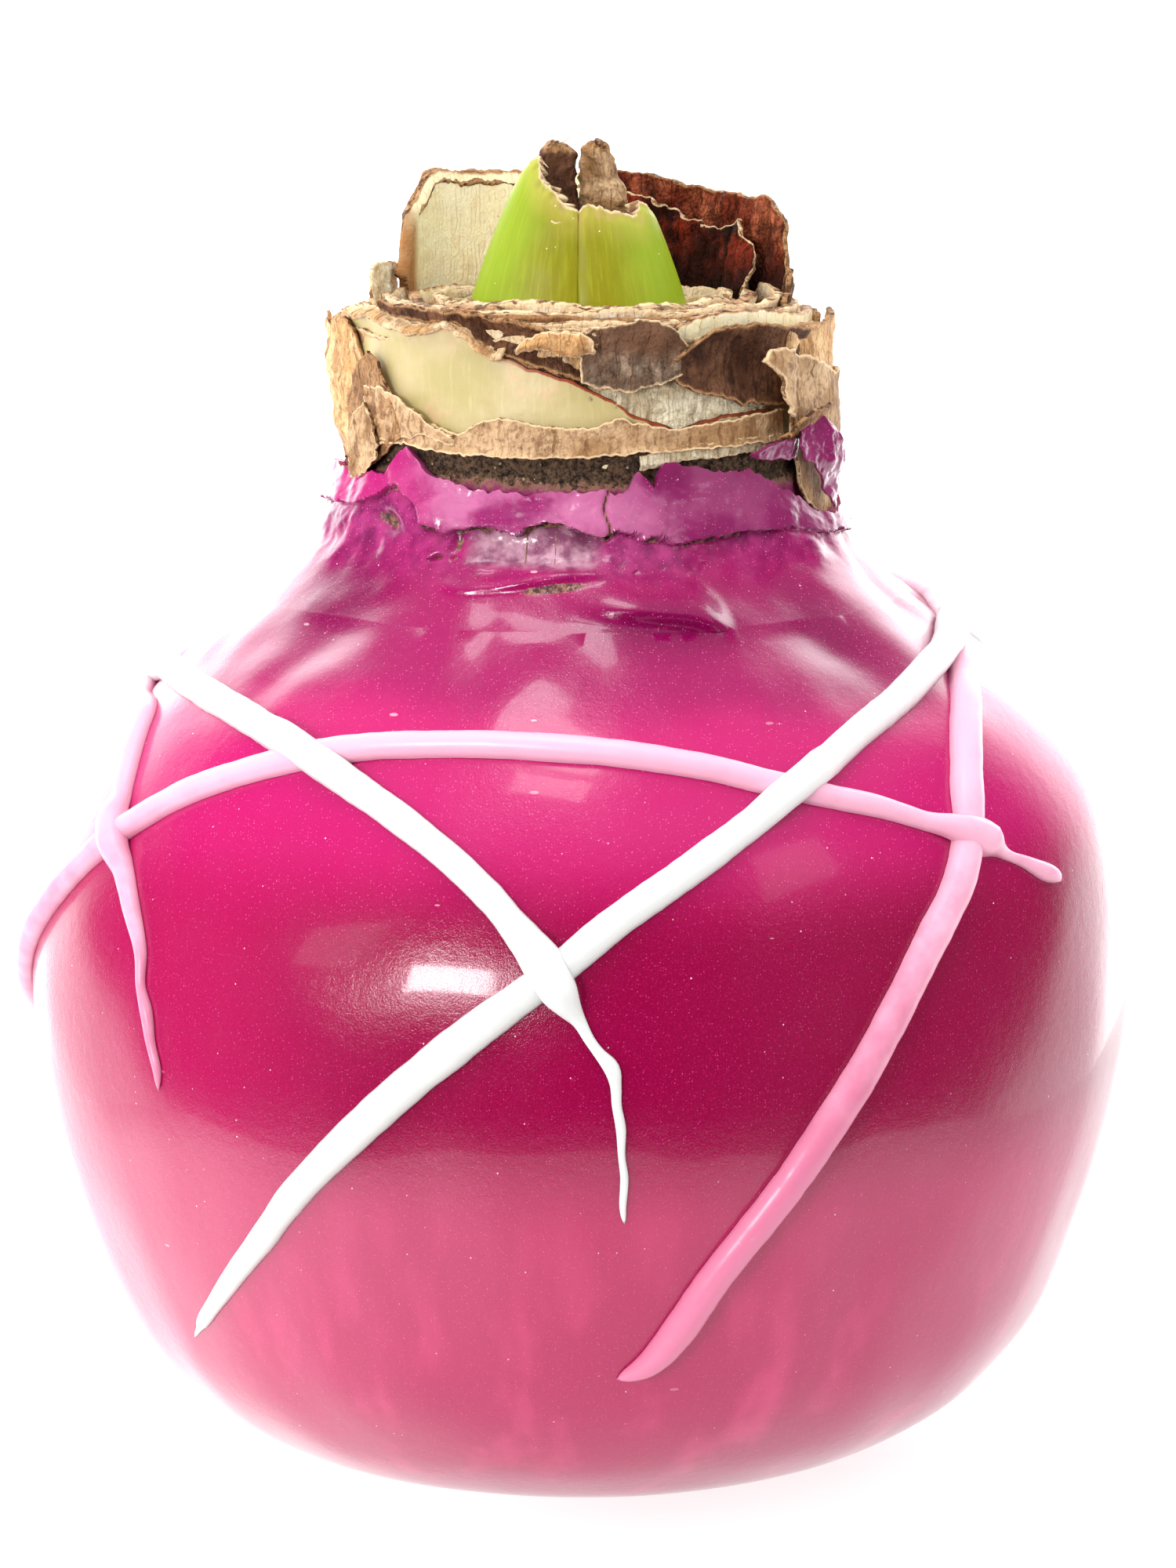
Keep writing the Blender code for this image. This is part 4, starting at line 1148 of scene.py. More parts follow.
def felt_band():
    """The pitted old skin between the wax and the scales, under the ledge of the paper band."""
    def place(u, v):
        azimuth = 2 * math.pi * (u - 0.5)
        z = FELT_FOOT + FELT_HEIGHT * v
        point = round_point(azimuth, SKIN_RADIUS, z)
        pits = crumple(point, 0.3, 1.1, 1.0) - 0.25 * ease(0.1, 0.5, lumps(point, 0.6, 3.0))
        hollow = 0.35 * hump(z, 91.6, 1.3)
        shoulder = 0.5 * ease(93.0, 93.7, z)
        return (round_point(azimuth, SKIN_RADIUS + 0.25 + pits - shoulder - hollow, z),)

    piece = grid_piece("felt_band", 460, 26, place, FELT)
    face_outwards(piece, NECK_MIDDLE)
    return settle(piece, "bulb")


# Cut scales in the neck's top: radius, height of the rim, thickness, waviness and finish.
CUT_RINGS = [
    (20.7, 102.9, 0.25, 0.20, RIM_TAN), (20.3, 103.5, 0.30, 0.25, PALE),
    (19.8, 104.0, 0.25, 0.30, RIM_TAN), (19.2, 104.4, 0.45, 0.35, PALE),
    (18.5, 104.7, 0.25, 0.40, RIM_BROWN), (17.8, 105.1, 0.65, 0.40, PALE),
    (16.7, 104.4, 0.25, 0.40, BROWN), (15.6, 104.9, 0.90, 0.35, CREAM),
    (14.4, 104.2, 0.25, 0.35, RIM_TAN), (13.3, 105.0, 0.85, 0.30, PALE),
    (12.3, 104.3, 0.30, 0.25, RIM_TAN),
]


def cut_rings():
    """The cut ends of the nested scales, each a ragged wavy ring with a dried rim."""
    for k, (radius, rim_z, thickness, waviness, finish) in enumerate(CUT_RINGS):
        dice = random.Random(40 + k)
        turn, phase = dice.uniform(-25, 25), dice.uniform(0, 6)
        top = []
        for degrees in range(-206, 207, 4):
            seat = on_neck(degrees, k * 3.0)
            top.append((degrees, rim_z + 0.7 * lumps(seat, 8.0, k) + 0.25 * lumps(seat, 3.0, k)))

        def bend(degrees, z, share):
            seat = on_neck(degrees, k * 3.0, radius)
            wave = math.sin(3 * math.radians(degrees) + phase)
            wave += lumps(seat, 5.0, k) + 0.6 * lumps(seat, 1.8, k)
            return radius + waviness * wave * share + 0.2 * ease(0.8, 1.0, share)

        sheet(
            f"cut_ring_{k + 1}", level(101.2 if radius < 17 else 99.5), top, bend, finish, "bulb",
            span=(-178 + turn, 178 + turn), thickness=thickness, torn="t", ragged=0.12, rim_width=0.8,
            density=3.2, creases=(0.07, 1.4), seed=k * 1.3,
        )


FRONT_TOP = [
    (-84, 103.6), (-67, 104.3), (-60, 104.6), (-54, 104.2), (-46, 103.5), (-42, 103.3),
    (-36, 103.9), (-31, 104.2), (-28, 103.6), (-25, 102.6), (-21, 101.7), (-16, 101.1),
    (-13, 100.5), (-7, 100.1), (-2, 99.5), (3, 98.6), (8, 97.7), (12, 96.6), (17, 95.9),
    (24, 95.1), (29, 95.6), (36, 96.1), (44, 96.2), (52, 96.3),
]


def front_scales():
    """The fleshy scale across the front with its torn upper edge, and the rim that it dried to."""
    def front(degrees, z, v):
        swell = 0.35 * hump(degrees, -46, 16) * v + 0.25 * hump(degrees, -18, 9) * v
        lip = 0.7 * ease(0.82, 1.0, v) * ease(-22, -32, degrees)
        return SCALE_RADIUS + 0.95 + swell + lip - 0.35 * v + 0.45 * ease(-22, -4, degrees) * v

    def reddened(degrees, z):
        return ease(-22, -10, degrees)

    sheet(
        "front_scale_fine", level(93.4), FRONT_TOP, front, FRONT_CREAM, "front_scale", thickness=0.75,
        torn="t", ragged=0.16, rim_width=0.8, density=5.0, creases=(0.07, 4.0), tint=reddened,
        seed=2.0,
    )
    rim_low = [(a, between(FRONT_TOP, a) - 0.55) for a in range(-84, -16, 4)]
    rim_top = [(a, between(FRONT_TOP, a) + 0.5) for a in range(-84, -16, 4)]

    def rolled(degrees, z, v):
        return SCALE_RADIUS + 1.35 + 0.75 * math.sin(math.pi * min(1, v + 0.15)) - 0.5 * v

    sheet(
        "front_scale_rim", rim_low, rim_top, rolled, RIM_TAN, "front_scale", span=(-84, -18),
        torn="tb", density=5.0, creases=(0.16, 1.6), seed=3.0,
    )


def front_shreds():
    """Torn skins over the front scale's right half."""
    bottom = [(-56, 104.6), (-40, 104.2), (-30, 104.2), (-26, 102.7), (-18, 101.6), (-12, 100.9),
              (-6, 100.3), (0, 99.7), (4, 99.0)]
    top = [(-56, 105.6), (-44, 105.5), (-30, 105.2), (-18, 104.7), (-11, 104.2), (-6, 103.6), (4, 102.6)]

    def scooped(degrees, z, v):
        return SCALE_RADIUS + 1.2 - 0.9 * math.sin(math.pi * v) * ease(-34, -20, degrees) + 0.4 * v

    # The dark shred's dark brown finish also paints the shade in the gap under the rims and the tan roll.
    sheet(
        "dark_shred", bottom, top, scooped, BROWN, "veined_tunic", torn="tb", ragged=0.25,
        creases=(0.25, 1.6), seed=7.0,
    )
    roll_low = [(-14, 101.8), (-10, 102.2), (-4, 101.7), (3, 101.6)]
    roll_top = [(-14, 102.9), (-10, 103.6), (-4, 103.9), (0, 103.7), (3, 102.8)]

    def roll(degrees, z, v):
        return SCALE_RADIUS + 1.5 + 1.1 * math.sin(math.pi * (0.1 + 0.8 * v))

    sheet(
        "tan_roll", roll_low, roll_top, roll, RIM_TAN, "veined_tunic", rim_width=0.4, density=7.0,
        creases=(0.22, 1.2), seed=8.0,
    )
    low = [(0, 99.3), (4, 98.9), (11, 98.5), (16, 98.9), (21, 99.4), (26, 100.2)]
    high = [(0, 103.3), (4, 104.1), (11, 104.7), (17, 104.8), (22, 104.0), (26, 102.2)]

    def quilted(degrees, z, v):
        folds = 0.22 * math.sin(math.radians(degrees) * 66 + 0.8 * math.sin(z * 1.7)) * (1 - 0.6 * v)
        knob = 0.9 * hump(degrees, 18.5, 3.0) * hump(z, 103.4, 1.3)
        return SCALE_RADIUS + 1.65 + folds + knob - 0.9 * hump(degrees, 3.2, 1.8) * ease(0.5, 0.9, v)

    def browner(degrees, z):
        return ease(100.6, 102.6, z)

    sheet(
        "veined_tunic_fine", low, high, quilted, GREY, "veined_tunic", thickness=0.35, rim_width=0.6,
        density=7.0, creases=(0.22, 1.3), tint=browner, seed=9.0,
    )
    low = [(2, 97.5), (8, 96.5), (12, 95.5), (17, 94.8), (24, 94.2), (29, 94.6), (39, 95.4), (52, 95.9)]
    high = [(2, 99.5), (10, 99.5), (21, 99.9), (28, 99.2), (35, 98.4), (44, 97.6), (52, 97.0)]
    sheet(
        "fibrous_patch", low, high, held_off(0.95, -0.15), WOOLLY, "veined_tunic", torn="tb",
        rim_width=0.3, density=6.5, creases=(0.25, 0.9), seed=11.0,
    )


def right_tunics():
    """The hollow tunic, whose dark brown finish also paints the shade of its hollow, the cream scale
    behind it, and the dry skin round the right.
    """
    def arc(degrees, z, v):
        return SCALE_RADIUS + 0.7 + 0.5 * hump(degrees, 34, 14) * v

    top = [(20, 102.6), (24, 103.9), (28, 104.6), (36, 105.1), (54, 104.8), (72, 103.9), (96, 103.9)]
    sheet(
        "cream_arc", level(102.4), top, arc, CREAM, "right_tunic", thickness=0.7, torn="t", ragged=0.2,
        density=4.5, creases=(0.1, 2.5), seed=15.0,
    )

    def hollow(degrees, z, v):
        cup = hump(degrees, 41, 10) * hump(z, 100.2, 2.4)
        lip = 0.5 * ease(0.8, 1.0, v)
        return SCALE_RADIUS + 1.75 + lip - 0.9 * cup

    low = [(22, 99.3), (28, 98.3), (34, 97.7), (41, 97.0), (52, 96.6), (66, 97.0)]
    high = [(22, 101.2), (25, 102.2), (31, 103.6), (41, 104.0), (52, 103.7), (66, 102.8)]
    # Its dark brown finish also paints the shade inside the hollow.
    sheet(
        "hollow_tunic", low, high, hollow, BROWN, "right_tunic", thickness=0.35, ragged=0.25,
        rim_width=0.6, creases=(0.12, 1.8), seed=13.0,
    )

    def upper(degrees, z, v):
        return SCALE_RADIUS + 1.7 + 0.8 * ease(60, 85, degrees) + 0.2 * v

    low = [(56, 99.5), (66, 99.0), (80, 97.5), (100, 97.0)]
    high = [(56, 103.2), (66, 103.4), (76, 103.3), (88, 103.9), (100, 103.6)]
    sheet(
        "brown_upper_skin", low, high, upper, TAN, "right_tunic", thickness=0.35, torn="tb",
        rim_width=0.6, density=5.0, creases=(0.3, 2.2), seed=14.0,
    )

    def curled(degrees, z, v):
        curl = ease(61, 49, degrees) ** 2
        return SCALE_RADIUS + 2.3 + 2.2 * curl + 0.8 * ease(60, 85, degrees)

    low = [(49, 96.2), (53, 95.4), (58, 92.0), (64, 87.4), (74, 85.6), (86, 86.8), (98, 88.6)]
    high = [(49, 101.0), (51, 101.9), (56, 101.9), (62, 101.0), (70, 100.0), (82, 98.6), (98, 98.4)]

    def curved(z):
        return -3.0 * ease(96.0, 98.5, z) - 6.5 * ease(99.3, 101.2, z)

    sheet(
        "right_tunic_fine", low, high, curled, PAPER, "right_tunic", thickness=0.4, rim_width=0.9,
        density=5.0, creases=(0.3, 2.6), seed=17.0, left=curved,
    )
    low = [(49, 93.6), (58, 93.8), (68, 94.4)]
    high = [(49, 94.0), (57, 96.0), (68, 96.2)]
    sheet(
        "small_curl", low, high, held_off(2.9, 1.3), TAN_BROWN, "right_tunic", rim_width=0.6,
        density=7.0, creases=(0.2, 1.2), seed=27.0,
    )


def back_tunic():
    """The plain dry tunic that closes the back of the neck."""
    top = [
        (92, 103.2), (104, 103.6), (120, 102.8), (150, 103.4), (190, 102.2), (230, 103.4),
        (278, 103.8),
    ]
    sheet(
        "back_tunic_fine", level(93.2), top, held_off(1.2, 0.2), TAN, "back_tunic", thickness=0.4,
        torn="t", ragged=0.35, rim_width=0.9, density=3.2, creases=(0.3, 4.0), seed=5.0,
    )


def paper_bands():
    """Thin torn paper low on the neck, and a longer shred of it up the left."""
    top = [(-66, 96.0), (-50, 96.4), (-44, 96.0), (-36, 95.3), (-32, 94.9), (-29, 94.7), (-25, 95.6),
           (-19, 96.2), (-13, 95.9), (-7, 95.5), (-2, 95.4), (4, 95.5), (8, 96.2), (10, 96.5),
           (12, 95.8), (16, 95.6), (22, 95.1), (30, 95.4), (40, 95.8), (56, 96.2)]
    low = [
        (-66, 92.4), (-48, 93.3), (-38, 93.1), (-16, 92.7), (3, 92.9), (14, 93.2), (22, 93.2),
        (56, 93.5),
    ]

    def papery(degrees, z, v):
        ledge = 0.35 * ease(0.25, 0.0, v)
        return SCALE_RADIUS + 1.5 + ledge + 0.15 * v

    sheet(
        "paper_band_fine", low, top, papery, PAPER, "paper_band", thickness=0.25, torn="tb",
        ragged=0.25, creases=(0.14, 2.2), seed=19.0,
    )
    low = [(14, 91.6), (22, 92.2), (30, 92.4), (44, 92.6), (56, 92.2)]
    top = [(14, 92.9), (22, 93.5), (36, 93.9), (56, 94.0)]
    sheet(
        "mottled_band", low, top, held_off(1.55), WOOLLY, "paper_band", thickness=0.25, torn="tb",
        ragged=0.25, rim_width=0.3, creases=(0.2, 1.0), seed=20.0,
    )
    low = [(-60, 93.0), (-52, 93.4), (-44, 94.0), (-38, 94.2), (-30, 93.6)]
    top = [(-60, 98.0), (-52, 98.2), (-47, 97.6), (-42, 96.6), (-36, 95.2), (-30, 94.4)]
    sheet(
        "torn_paper", low, top, held_off(1.75, 0.3), PAPER, "paper_band", thickness=0.22,
        creases=(0.2, 2.0), seed=22.0,
    )


def left_skins():
    """Skins that stand off the neck at the left."""
    def standing(degrees, z, v):
        off = ease(-66, -84, degrees)
        return SCALE_RADIUS + 1.2 + off * (1.2 * math.sin(math.pi * v * 0.85) + 0.9 * v**4)

    low = [(-100, 92.6), (-92, 91.6), (-84, 91.0), (-76, 90.2), (-68, 91.4), (-62, 91.4)]
    high = [(-100, 100.6), (-93, 102.6), (-88, 103.9), (-84, 102.0), (-80, 103.4), (-76, 104.0),
            (-70, 102.8), (-66, 100.8), (-62, 98.0)]
    sheet(
        "left_flap_fine", low, high, standing, TAN, "left_flap", ragged=0.5, rim_width=0.9,
        density=5.5, creases=(0.55, 2.8), seed=21.0,
    )
    low = [(-70, 90.2), (-62, 90.2), (-56, 91.4), (-50, 92.8), (-46, 93.8)]
    high = [(-70, 96.8), (-64, 99.4), (-58, 101.2), (-54, 100.2), (-50, 97.6), (-46, 95.2)]
    sheet(
        "left_strip", low, high, held_off(1.7, 0.3), TAN_BROWN, "left_flap", ragged=0.35,
        rim_width=0.6, density=6.5, creases=(0.35, 1.8), seed=23.0,
    )
    low = [(-68, 89.8), (-62, 89.8), (-57, 90.6), (-53, 91.8)]
    high = [(-68, 93.0), (-64, 95.4), (-59, 96.6), (-56, 95.0), (-53, 93.0)]
    sheet(
        "left_white_strip", low, high, held_off(2.3), PAPER, "left_flap", thickness=0.25,
        rim_width=0.4, density=7.0, creases=(0.3, 1.2), seed=24.0,
    )


def wax_flakes():
    """Flakes of wax that peel off at the right, one flat and one that stands up to a point."""
    low = [(41, 92.4), (46, 91.9), (57, 91.8)]
    high = [(41, 92.6), (45, 93.2), (50, 93.6), (57, 93.6)]
    lying = sheet(
        "wax_flake_flat", low, high, held_off(2.6, 0.5), WAX, "wax_flake", thickness=0.25, ragged=0.25,
        rim_width=0.6, density=7.0, creases=(0.2, 1.2), seed=25.0,
    )

    def upright(degrees, z, v):
        return SCALE_RADIUS + 3.0 + 1.0 * hump(z, 92.0, 2.4) + 0.8 * ease(58, 70, degrees)

    low = [(55, 92.0), (59, 91.2), (63, 89.8), (67, 88.2), (72, 86.8)]
    high = [(55, 93.8), (58, 95.2), (61, 95.0), (65, 95.2), (69, 94.0), (72, 92.0)]
    peeling = sheet(
        "wax_flake_upright", low, high, upright, WAX, "wax_flake", thickness=0.25, ragged=0.35,
        rim_width=0.6, density=7.0, creases=(0.3, 1.6), seed=26.0,
    )
    for piece in (lying, peeling):
        flap = piece.data.attributes.new("flap", "FLOAT", "POINT")
        flap.data.foreach_set("value", [1.0] * len(piece.data.vertices))


def standing_scales():
    """Scales cut higher than the rest, at the back of the neck."""
    foot = level(101.8)
    top = [(-184, 114.5), (-160, 114.8), (-140, 115.0), (-132, 115.4), (-128, 115.0), (-124, 113.4),
           (-120, 112.6), (-117, 111.6), (-115, 108.5), (-113, 106.2)]

    def cream(degrees, z, v):
        return 17.9 + 0.35 * ease(0.9, 1.0, v)

    def side_brown(degrees, z):
        return ease(-121, -116, degrees)

    sheet(
        "back_scale_fine", foot, top, cream, BACK_CREAM, "back_scale", thickness=0.9, torn="ts",
        ragged=0.15, rim_width=0.9, density=4.0, creases=(0.08, 4.0), tint=side_brown, seed=29.0,
    )
    low = [(a, between(top, a) - 0.9) for a in range(-184, -118, 4)]
    rim = [(a, between(top, a) + 0.25) for a in range(-184, -118, 4)]
    sheet(
        "back_scale_rim", low, rim, held_off(-3.2, 1.4), RIM_BROWN, "back_scale", torn="tb",
        density=5.0, creases=(0.2, 1.4), seed=30.0,
    )
    outer_top = [(98, 106.6), (101, 108.4), (104, 110.8), (108, 112.4), (114, 113.4), (118, 112.9),
                 (128, 113.4), (140, 113.6), (160, 114.8), (178, 115.2)]

    def outer(degrees, z, v):
        ribs = 0.2 * math.sin(math.radians(degrees) * 46)
        flare = 1.0 * ease(122, 104, degrees) * v
        return 17.6 + 0.6 * v + ribs * (1 - 0.5 * v) + flare

    # The tint darkens the red scales to near black towards their foot.
    def darker_low(degrees, z):
        return ease(109.5, 105.5, z)

    sheet(
        "red_scale_outer_fine", foot, outer_top, outer, RED_LIGHT, "red_scale_outer", thickness=0.45,
        torn="ts", ragged=0.25, density=4.5, creases=(0.4, 1.8), tint=darker_low, seed=31.0,
    )
    inner_top = [(106, 107.0), (109, 109.4), (113, 110.6), (118, 111.2), (124, 110.2), (132, 110.2),
                 (142, 110.9), (150, 112.0), (160, 113.0), (176, 113.8)]

    def inner(degrees, z, v):
        frill = 0.4 * math.sin(math.radians(degrees) * 37 + 1.0) * ease(0.8, 1.0, v)
        ribs = 0.16 * math.sin(math.radians(degrees) * 58)
        return 14.9 + 1.3 * v**2 + frill + ribs

    sheet(
        "red_scale_inner_fine", foot, inner_top, inner, RED, "red_scale_inner", thickness=0.4,
        torn="ts", ragged=0.35, density=5.0, creases=(0.2, 1.2), tint=darker_low, seed=33.0,
    )
    left_top = [(-116, 107.2), (-104, 107.6), (-94, 107.0), (-88, 106.0), (-84, 104.6)]
    sheet(
        "left_curl_fine", foot, left_top, held_off(-1.7, 0.6), PALE, "left_curl", torn="ts",
        rim_width=0.6, density=5.0, creases=(0.35, 2.0), seed=35.0,
    )
    right_top = [(74, 105.0), (79, 105.8), (83, 107.6), (86, 106.2), (91, 106.9), (98, 106.4)]
    sheet(
        "right_curl_fine", foot, right_top, held_off(-1.7, 0.6), BROWN, "right_curl", thickness=0.45,
        torn="ts", rim_width=0.6, density=5.0, creases=(0.35, 1.6), seed=37.0,
    )


# The sprout

SPROUT_X = -0.2
SPROUT_BASE = 101.3
SPROUT_TOP = 117.6
SHEATH_WALL = 1.3
STUB_DEPTH = 1.6
STUB_LEAN = 0.5


def sheath_radii(z):
    """Half width and half depth of the leaf stubs' wrapped sheets at a height."""
    share = (z - SPROUT_BASE) / (SPROUT_TOP - SPROUT_BASE)
    half_width = 10.6 - 4.2 * share - 2.0 * share**2
    return half_width, half_width * 0.66


def leaf(name, start, end, top, node, seed):
    """One leaf stub: a fleshy sheet wrapped round its half of the sprout and cut off aslant."""
    def place(u, v):
        degrees = start + (end - start) * u
        azimuth = math.radians(degrees)
        seat = (degrees * 0.15, seed, 0)
        wobble = 0.2 * lumps(seat, 0.9, seed) + 0.14 * lumps(seat, 0.35, seed)
        high = between(top, degrees) + wobble
        z = SPROUT_BASE + (high - SPROUT_BASE) * v
        wide, deep = sheath_radii(z)
        groove = 0.16 * hump(degrees, 0, 3) + 0.2 * hump(degrees, 0, 13)
        dried = 0.35 * ease(1.2, 0.0, high - z) * (1 + lumps((degrees * 0.2, z, seed), 1.0, seed))
        x = SPROUT_X + (wide - dried) * math.sin(azimuth)
        y = -(deep - groove - dried + 0.1 * lumps((x, 0, z), 3.0, seed)) * math.cos(azimuth)
        rim = max(0.0, 1 - (high - z) / 3.4)
        cut = max(0.0, 1 - (high - z) / 0.9)
        return Vector((x, y, z)), azimuth * 8, z - 100, rim, hump(degrees, 0, 40), cut

    piece = grid_piece(name, 110, 64, place, LEAF, (*LAYERS, "cut"), merge=False)
    face_outwards(piece, Vector((SPROUT_X * MM, 0, 0.108)))
    thicken(piece, SHEATH_WALL)
    return settle(piece, node)


def stub(name, outline, centre, finish, node, seed):
    """A shrivelled stalk stub: creased, flat, and cut off uneven.

    outline lists heights with the left and right sides of the stub, seen from the front, and
    centre is how far back its foot stands.
    """
    curve = smooth_curve(outline, 4)

    def place(u, v):
        azimuth = 2 * math.pi * u
        row = v * (len(curve) + 1)
        height, left, right = curve[min(max(round(row) - 1, 0), len(curve) - 1)]
        share = (height - SPROUT_BASE) / (SPROUT_TOP - SPROUT_BASE)
        seat = (math.cos(azimuth) * 1.5, math.sin(azimuth) * 1.5, height)
        creases = 0.2 * lumps(seat, 0.9, seed) + 0.15 * lumps(seat, 0.4, seed)
        size = 0.0 if v in (0.0, 1.0) else 1 + creases + 0.12 * math.cos(3 * azimuth + seed)
        x = (left + right) / 2 + (right - left) / 2 * size * math.cos(azimuth)
        y = centre + STUB_LEAN * share + STUB_DEPTH * size * math.sin(azimuth)
        z = height + 0.35 * lumps(seat, 0.8, seed + 1) * share
        rim, tint = ease(116.8, 118.6, height), ease(-0.3, 0.5, lumps(seat, 1.2, seed))
        return Vector((x, y, z)), azimuth * 2, height - 100, rim, tint

    piece = grid_piece(name, 56, len(curve) + 1, place, finish, LAYERS)
    return settle(piece, node)


def fibre(name, points, thickness, finish, node):
    """A loose hair of dried skin through a few points."""
    curve = [Vector(p) for p in smooth_curve(points, 6)]
    last = len(curve) - 1

    def place(u, v):
        i = round(v * last)
        ahead = (curve[min(i + 1, last)] - curve[max(i - 1, 0)]).normalized()
        side = ahead.cross(Vector((0, 1, 0))).normalized()
        turn = 2 * math.pi * u
        size = thickness * (1 - 0.75 * i / last) * (0 if i in (0, last) else 1)
        point = curve[i] + (side * math.cos(turn) + Vector((0, 1, 0)) * math.sin(turn)) * size
        return point, 0.0, 0.0, 0.0, 0.0

    return settle(grid_piece(name, 6, last, place, finish, LAYERS), node)


def sprout():
    """Two leaf stubs that meet at the front, with two dried stalk stubs between them."""
    left_top = [(-152, 113.0), (-105, 115.6), (-78, 117.0), (-66, 117.5), (-60, 117.7), (-52, 117.0),
                (-44, 116.1), (-36, 115.3), (-27, 114.8), (-20, 114.3), (-12, 113.5), (0, 112.9)]
    right_top = [(0, 112.8), (5, 113.3), (14, 113.4), (28, 112.9), (40, 112.5), (52, 112.4),
                 (60, 113.1), (66, 113.6), (72, 113.5), (105, 112.4), (152, 111.6)]
    leaf("leaf_left_fine", -152, 0, left_top, "leaf_left", 1.0)
    leaf("leaf_right_fine", 0, 152, right_top, "leaf_right", 2.0)
    dark = [(104.0, -3.0, -0.2), (108.0, -3.4, -0.3), (111.0, -3.8, -0.4), (113.4, -4.0, -0.3),
            (114.8, -4.3, -0.7), (116.0, -4.6, -0.7), (117.2, -3.9, -0.6), (118.0, -3.5, -0.9),
            (118.5, -3.1, -1.5), (118.7, -2.7, -2.0)]
    tan = [(104.0, 0.5, 3.4), (108.0, 0.4, 3.6), (111.0, 0.3, 4.2), (113.0, 0.2, 4.4),
           (114.6, 0.1, 3.9), (116.2, 0.1, 3.2), (117.4, 0.1, 2.8), (118.2, 0.2, 2.6),
           (118.6, 0.6, 2.3), (118.7, 0.9, 1.7)]
    stub("stub_dark", dark, 0.2, BROWN, "stalk_stub_dark", 0.0)
    stub("stub_tan", tan, 0.4, STUB_TAN, "stalk_stub_tan", 2.0)
    hair = [(-3.4, 0.6, 117.8), (-2.6, 0.6, 118.4), (-1.6, 0.5, 118.7), (-0.7, 0.5, 119.3)]
    fibre("stub_fibre", hair, 0.22, PALE, "stalk_stub_dark")
    low_hair = [(-2.6, -6.9, 112.2), (-2.2, -7.0, 112.0), (-1.7, -7.0, 112.1)]
    fibre("leaf_fibre", low_hair, 0.1, PALE, "leaf_left")


# Stage, light and camera

# What the glossy wax mirrors: brightness of the viewer's side, the sides, above and behind.
DARK_SIDE = 0.02
BRIGHT_SIDE = 1.6
OVERHEAD = 0.3
BEHIND = 3.2
# The soft light that all else receives, and the white wall that the camera sees.
FILL = {"front": 0.0, "left": 2.9, "right": 1.9, "behind": 2.6, "top": 2.0}
WALL = 1.1
BOX_AIM = Vector((0.0, 0.0, 0.055))
# Lit boxes a metre away: azimuth, elevation, width and height in metres, and radiance.
SOFT_BOXES = {
    "softbox": (-29.5, 10.5, 0.27, 0.16, 32.0),
    "top_box": (-40.0, 80.0, 0.30, 0.20, 6.0),
    "small_box_1": (-53.0, 21.0, 0.16, 0.20, 1.6),
    "small_box_2": (51.0, 33.0, 0.30, 0.22, 1.3),
    "small_box_3": (-24.0, 65.0, 0.20, 0.16, 5.0),
}


def floor():
    """A roll of white paper under the bulb and far behind it, with a rounded front end."""
    def place(u, v):
        across = 2 * u - 1
        front = FLOOR_FRONT * math.sqrt(max(0.0, 1 - across**2))
        return (Vector((FLOOR_HALF_WIDTH * across, front + (FLOOR_BACK - front) * v**3, 0.0)),)

    piece = grid_piece("pale_floor", 40, 12, place, FLOOR_WHITE, merge=False)
    if piece.data.polygons[0].normal.z < 0:
        piece.data.flip_normals()


def soft_box(name, azimuth, elevation, width, height, radiance):
    """A rectangular light, seen from the bulb at an azimuth and an elevation."""
    light = bpy.data.lights.new(name, "AREA")
    light.shape = "RECTANGLE"
    light.size, light.size_y = width, height
    light.energy = radiance * math.pi * width * height
    lamp = bpy.data.objects.new(name, light)
    turn, tilt = math.radians(azimuth), math.radians(elevation)
    away = round_point(turn, math.cos(tilt), math.sin(tilt))
    lamp.location = away + BOX_AIM
    lamp.rotation_euler = (-away).to_track_quat("-Z", "Y").to_euler()
    bpy.context.scene.collection.objects.link(lamp)


def mirrored_studio(tree, y, z, across):
    """What the gloss sees: dark on the viewer's side, pale at the sides, bright behind."""
    front = maths(tree, "DIVIDE", times(tree, y, -1.0), across)
    slanted = plus(tree, front, times(tree, maths(tree, "MINIMUM", z, 0.1), 1.1))
    dark = times(tree, ramp(tree, slanted, -0.66, -0.36), ramp(tree, z, 0.95, 0.62))
    pale = ramp(tree, front, -0.6, -0.9, BRIGHT_SIDE, BEHIND)
    pale = blend(tree, ramp(tree, z, 0.6, 0.9), pale, OVERHEAD)
    return blend(tree, dark, pale, DARK_SIDE)


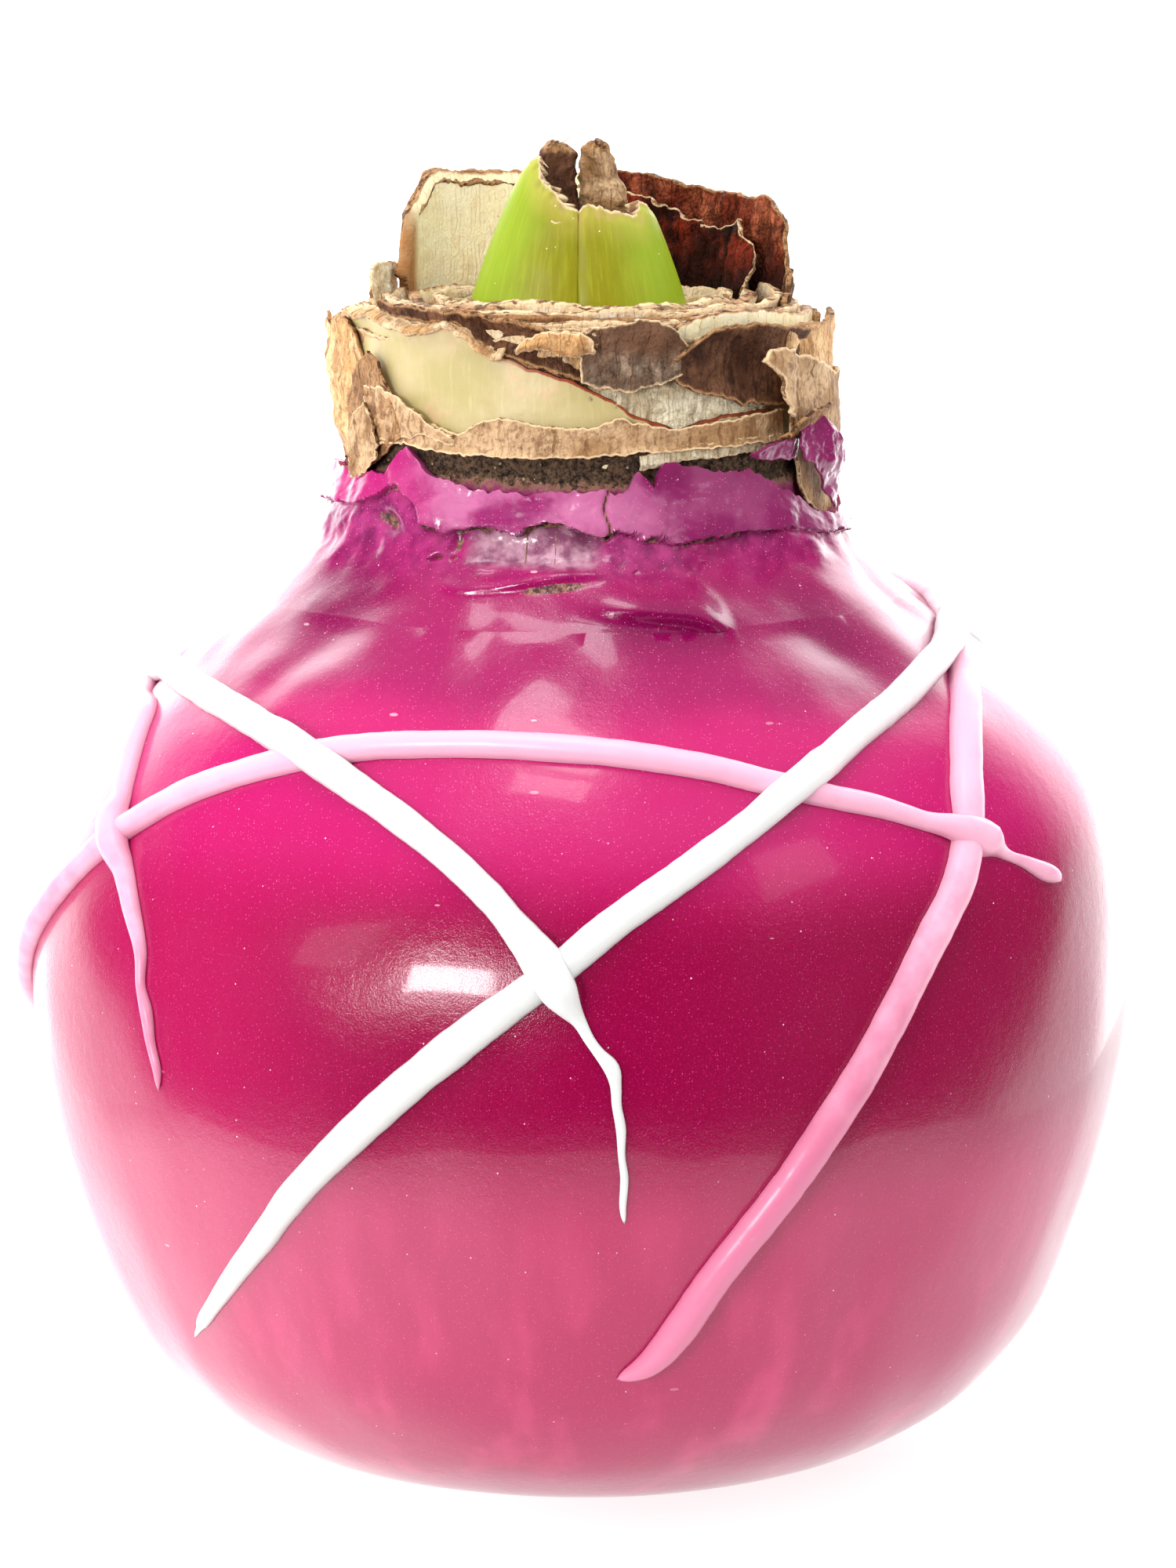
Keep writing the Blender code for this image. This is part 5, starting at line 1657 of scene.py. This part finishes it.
def soft_fill(tree, x, y, z):
    """What all other rays see: light from the left, the right, behind and above."""
    left = ramp(tree, x, -0.2, -1.0, FILL["front"], FILL["left"])
    right = ramp(tree, x, 0.2, 1.0, 0.0, FILL["right"] - FILL["front"])
    behind = ramp(tree, y, 0.1, 0.8, 0.0, FILL["behind"])
    around = maths(tree, "MAXIMUM", plus(tree, left, right), behind)
    return blend(tree, ramp(tree, z, 0.3, 0.8), around, FILL["top"])


def studio():
    """Soft white light, with a dark studio on the viewer's side for the glossy wax to mirror."""
    world = bpy.data.worlds.new("studio")
    world.use_nodes = True
    tree = world.node_tree
    tree.nodes.clear()
    heading = add(tree, "ShaderNodeTexCoord").outputs["Generated"]
    x, y, z = add(tree, "ShaderNodeSeparateXYZ", {0: heading}).outputs
    across = maths(tree, "SQRT", plus(tree, times(tree, x, x), times(tree, y, y)))
    path = add(tree, "ShaderNodeLightPath").outputs
    fill, mirrored = soft_fill(tree, x, y, z), mirrored_studio(tree, y, z, across)
    strength = blend(tree, path["Is Glossy Ray"], fill, mirrored)
    strength = blend(tree, path["Is Camera Ray"], strength, WALL)
    background = add(tree, "ShaderNodeBackground", {"Color": grey(1.0), "Strength": strength})
    out = add(tree, "ShaderNodeOutputWorld")
    tree.links.new(background.outputs[0], out.inputs["Surface"])
    bpy.context.scene.world = world
    for name, box in SOFT_BOXES.items():
        soft_box(name, *box)


def camera():
    """A long lens at the height that the photograph was taken from."""
    data = bpy.data.cameras.new("camera")
    data.sensor_width = SENSOR_WIDTH
    data.lens = LENS
    eye = bpy.data.objects.new("camera", data)
    eye.location = CAMERA_AT
    eye.rotation_euler = (math.radians(CAMERA_TILT), 0, 0)
    bpy.context.scene.collection.objects.link(eye)
    bpy.context.scene.camera = eye
    bpy.context.scene.view_settings.view_transform = "Standard"


camera()
studio()
floor()
wax_coat()
piped_lines()
neck_core()
felt_band()
cut_rings()
front_scales()
front_shreds()
right_tunics()
back_tunic()
paper_bands()
left_skins()
wax_flakes()
standing_scales()
sprout()
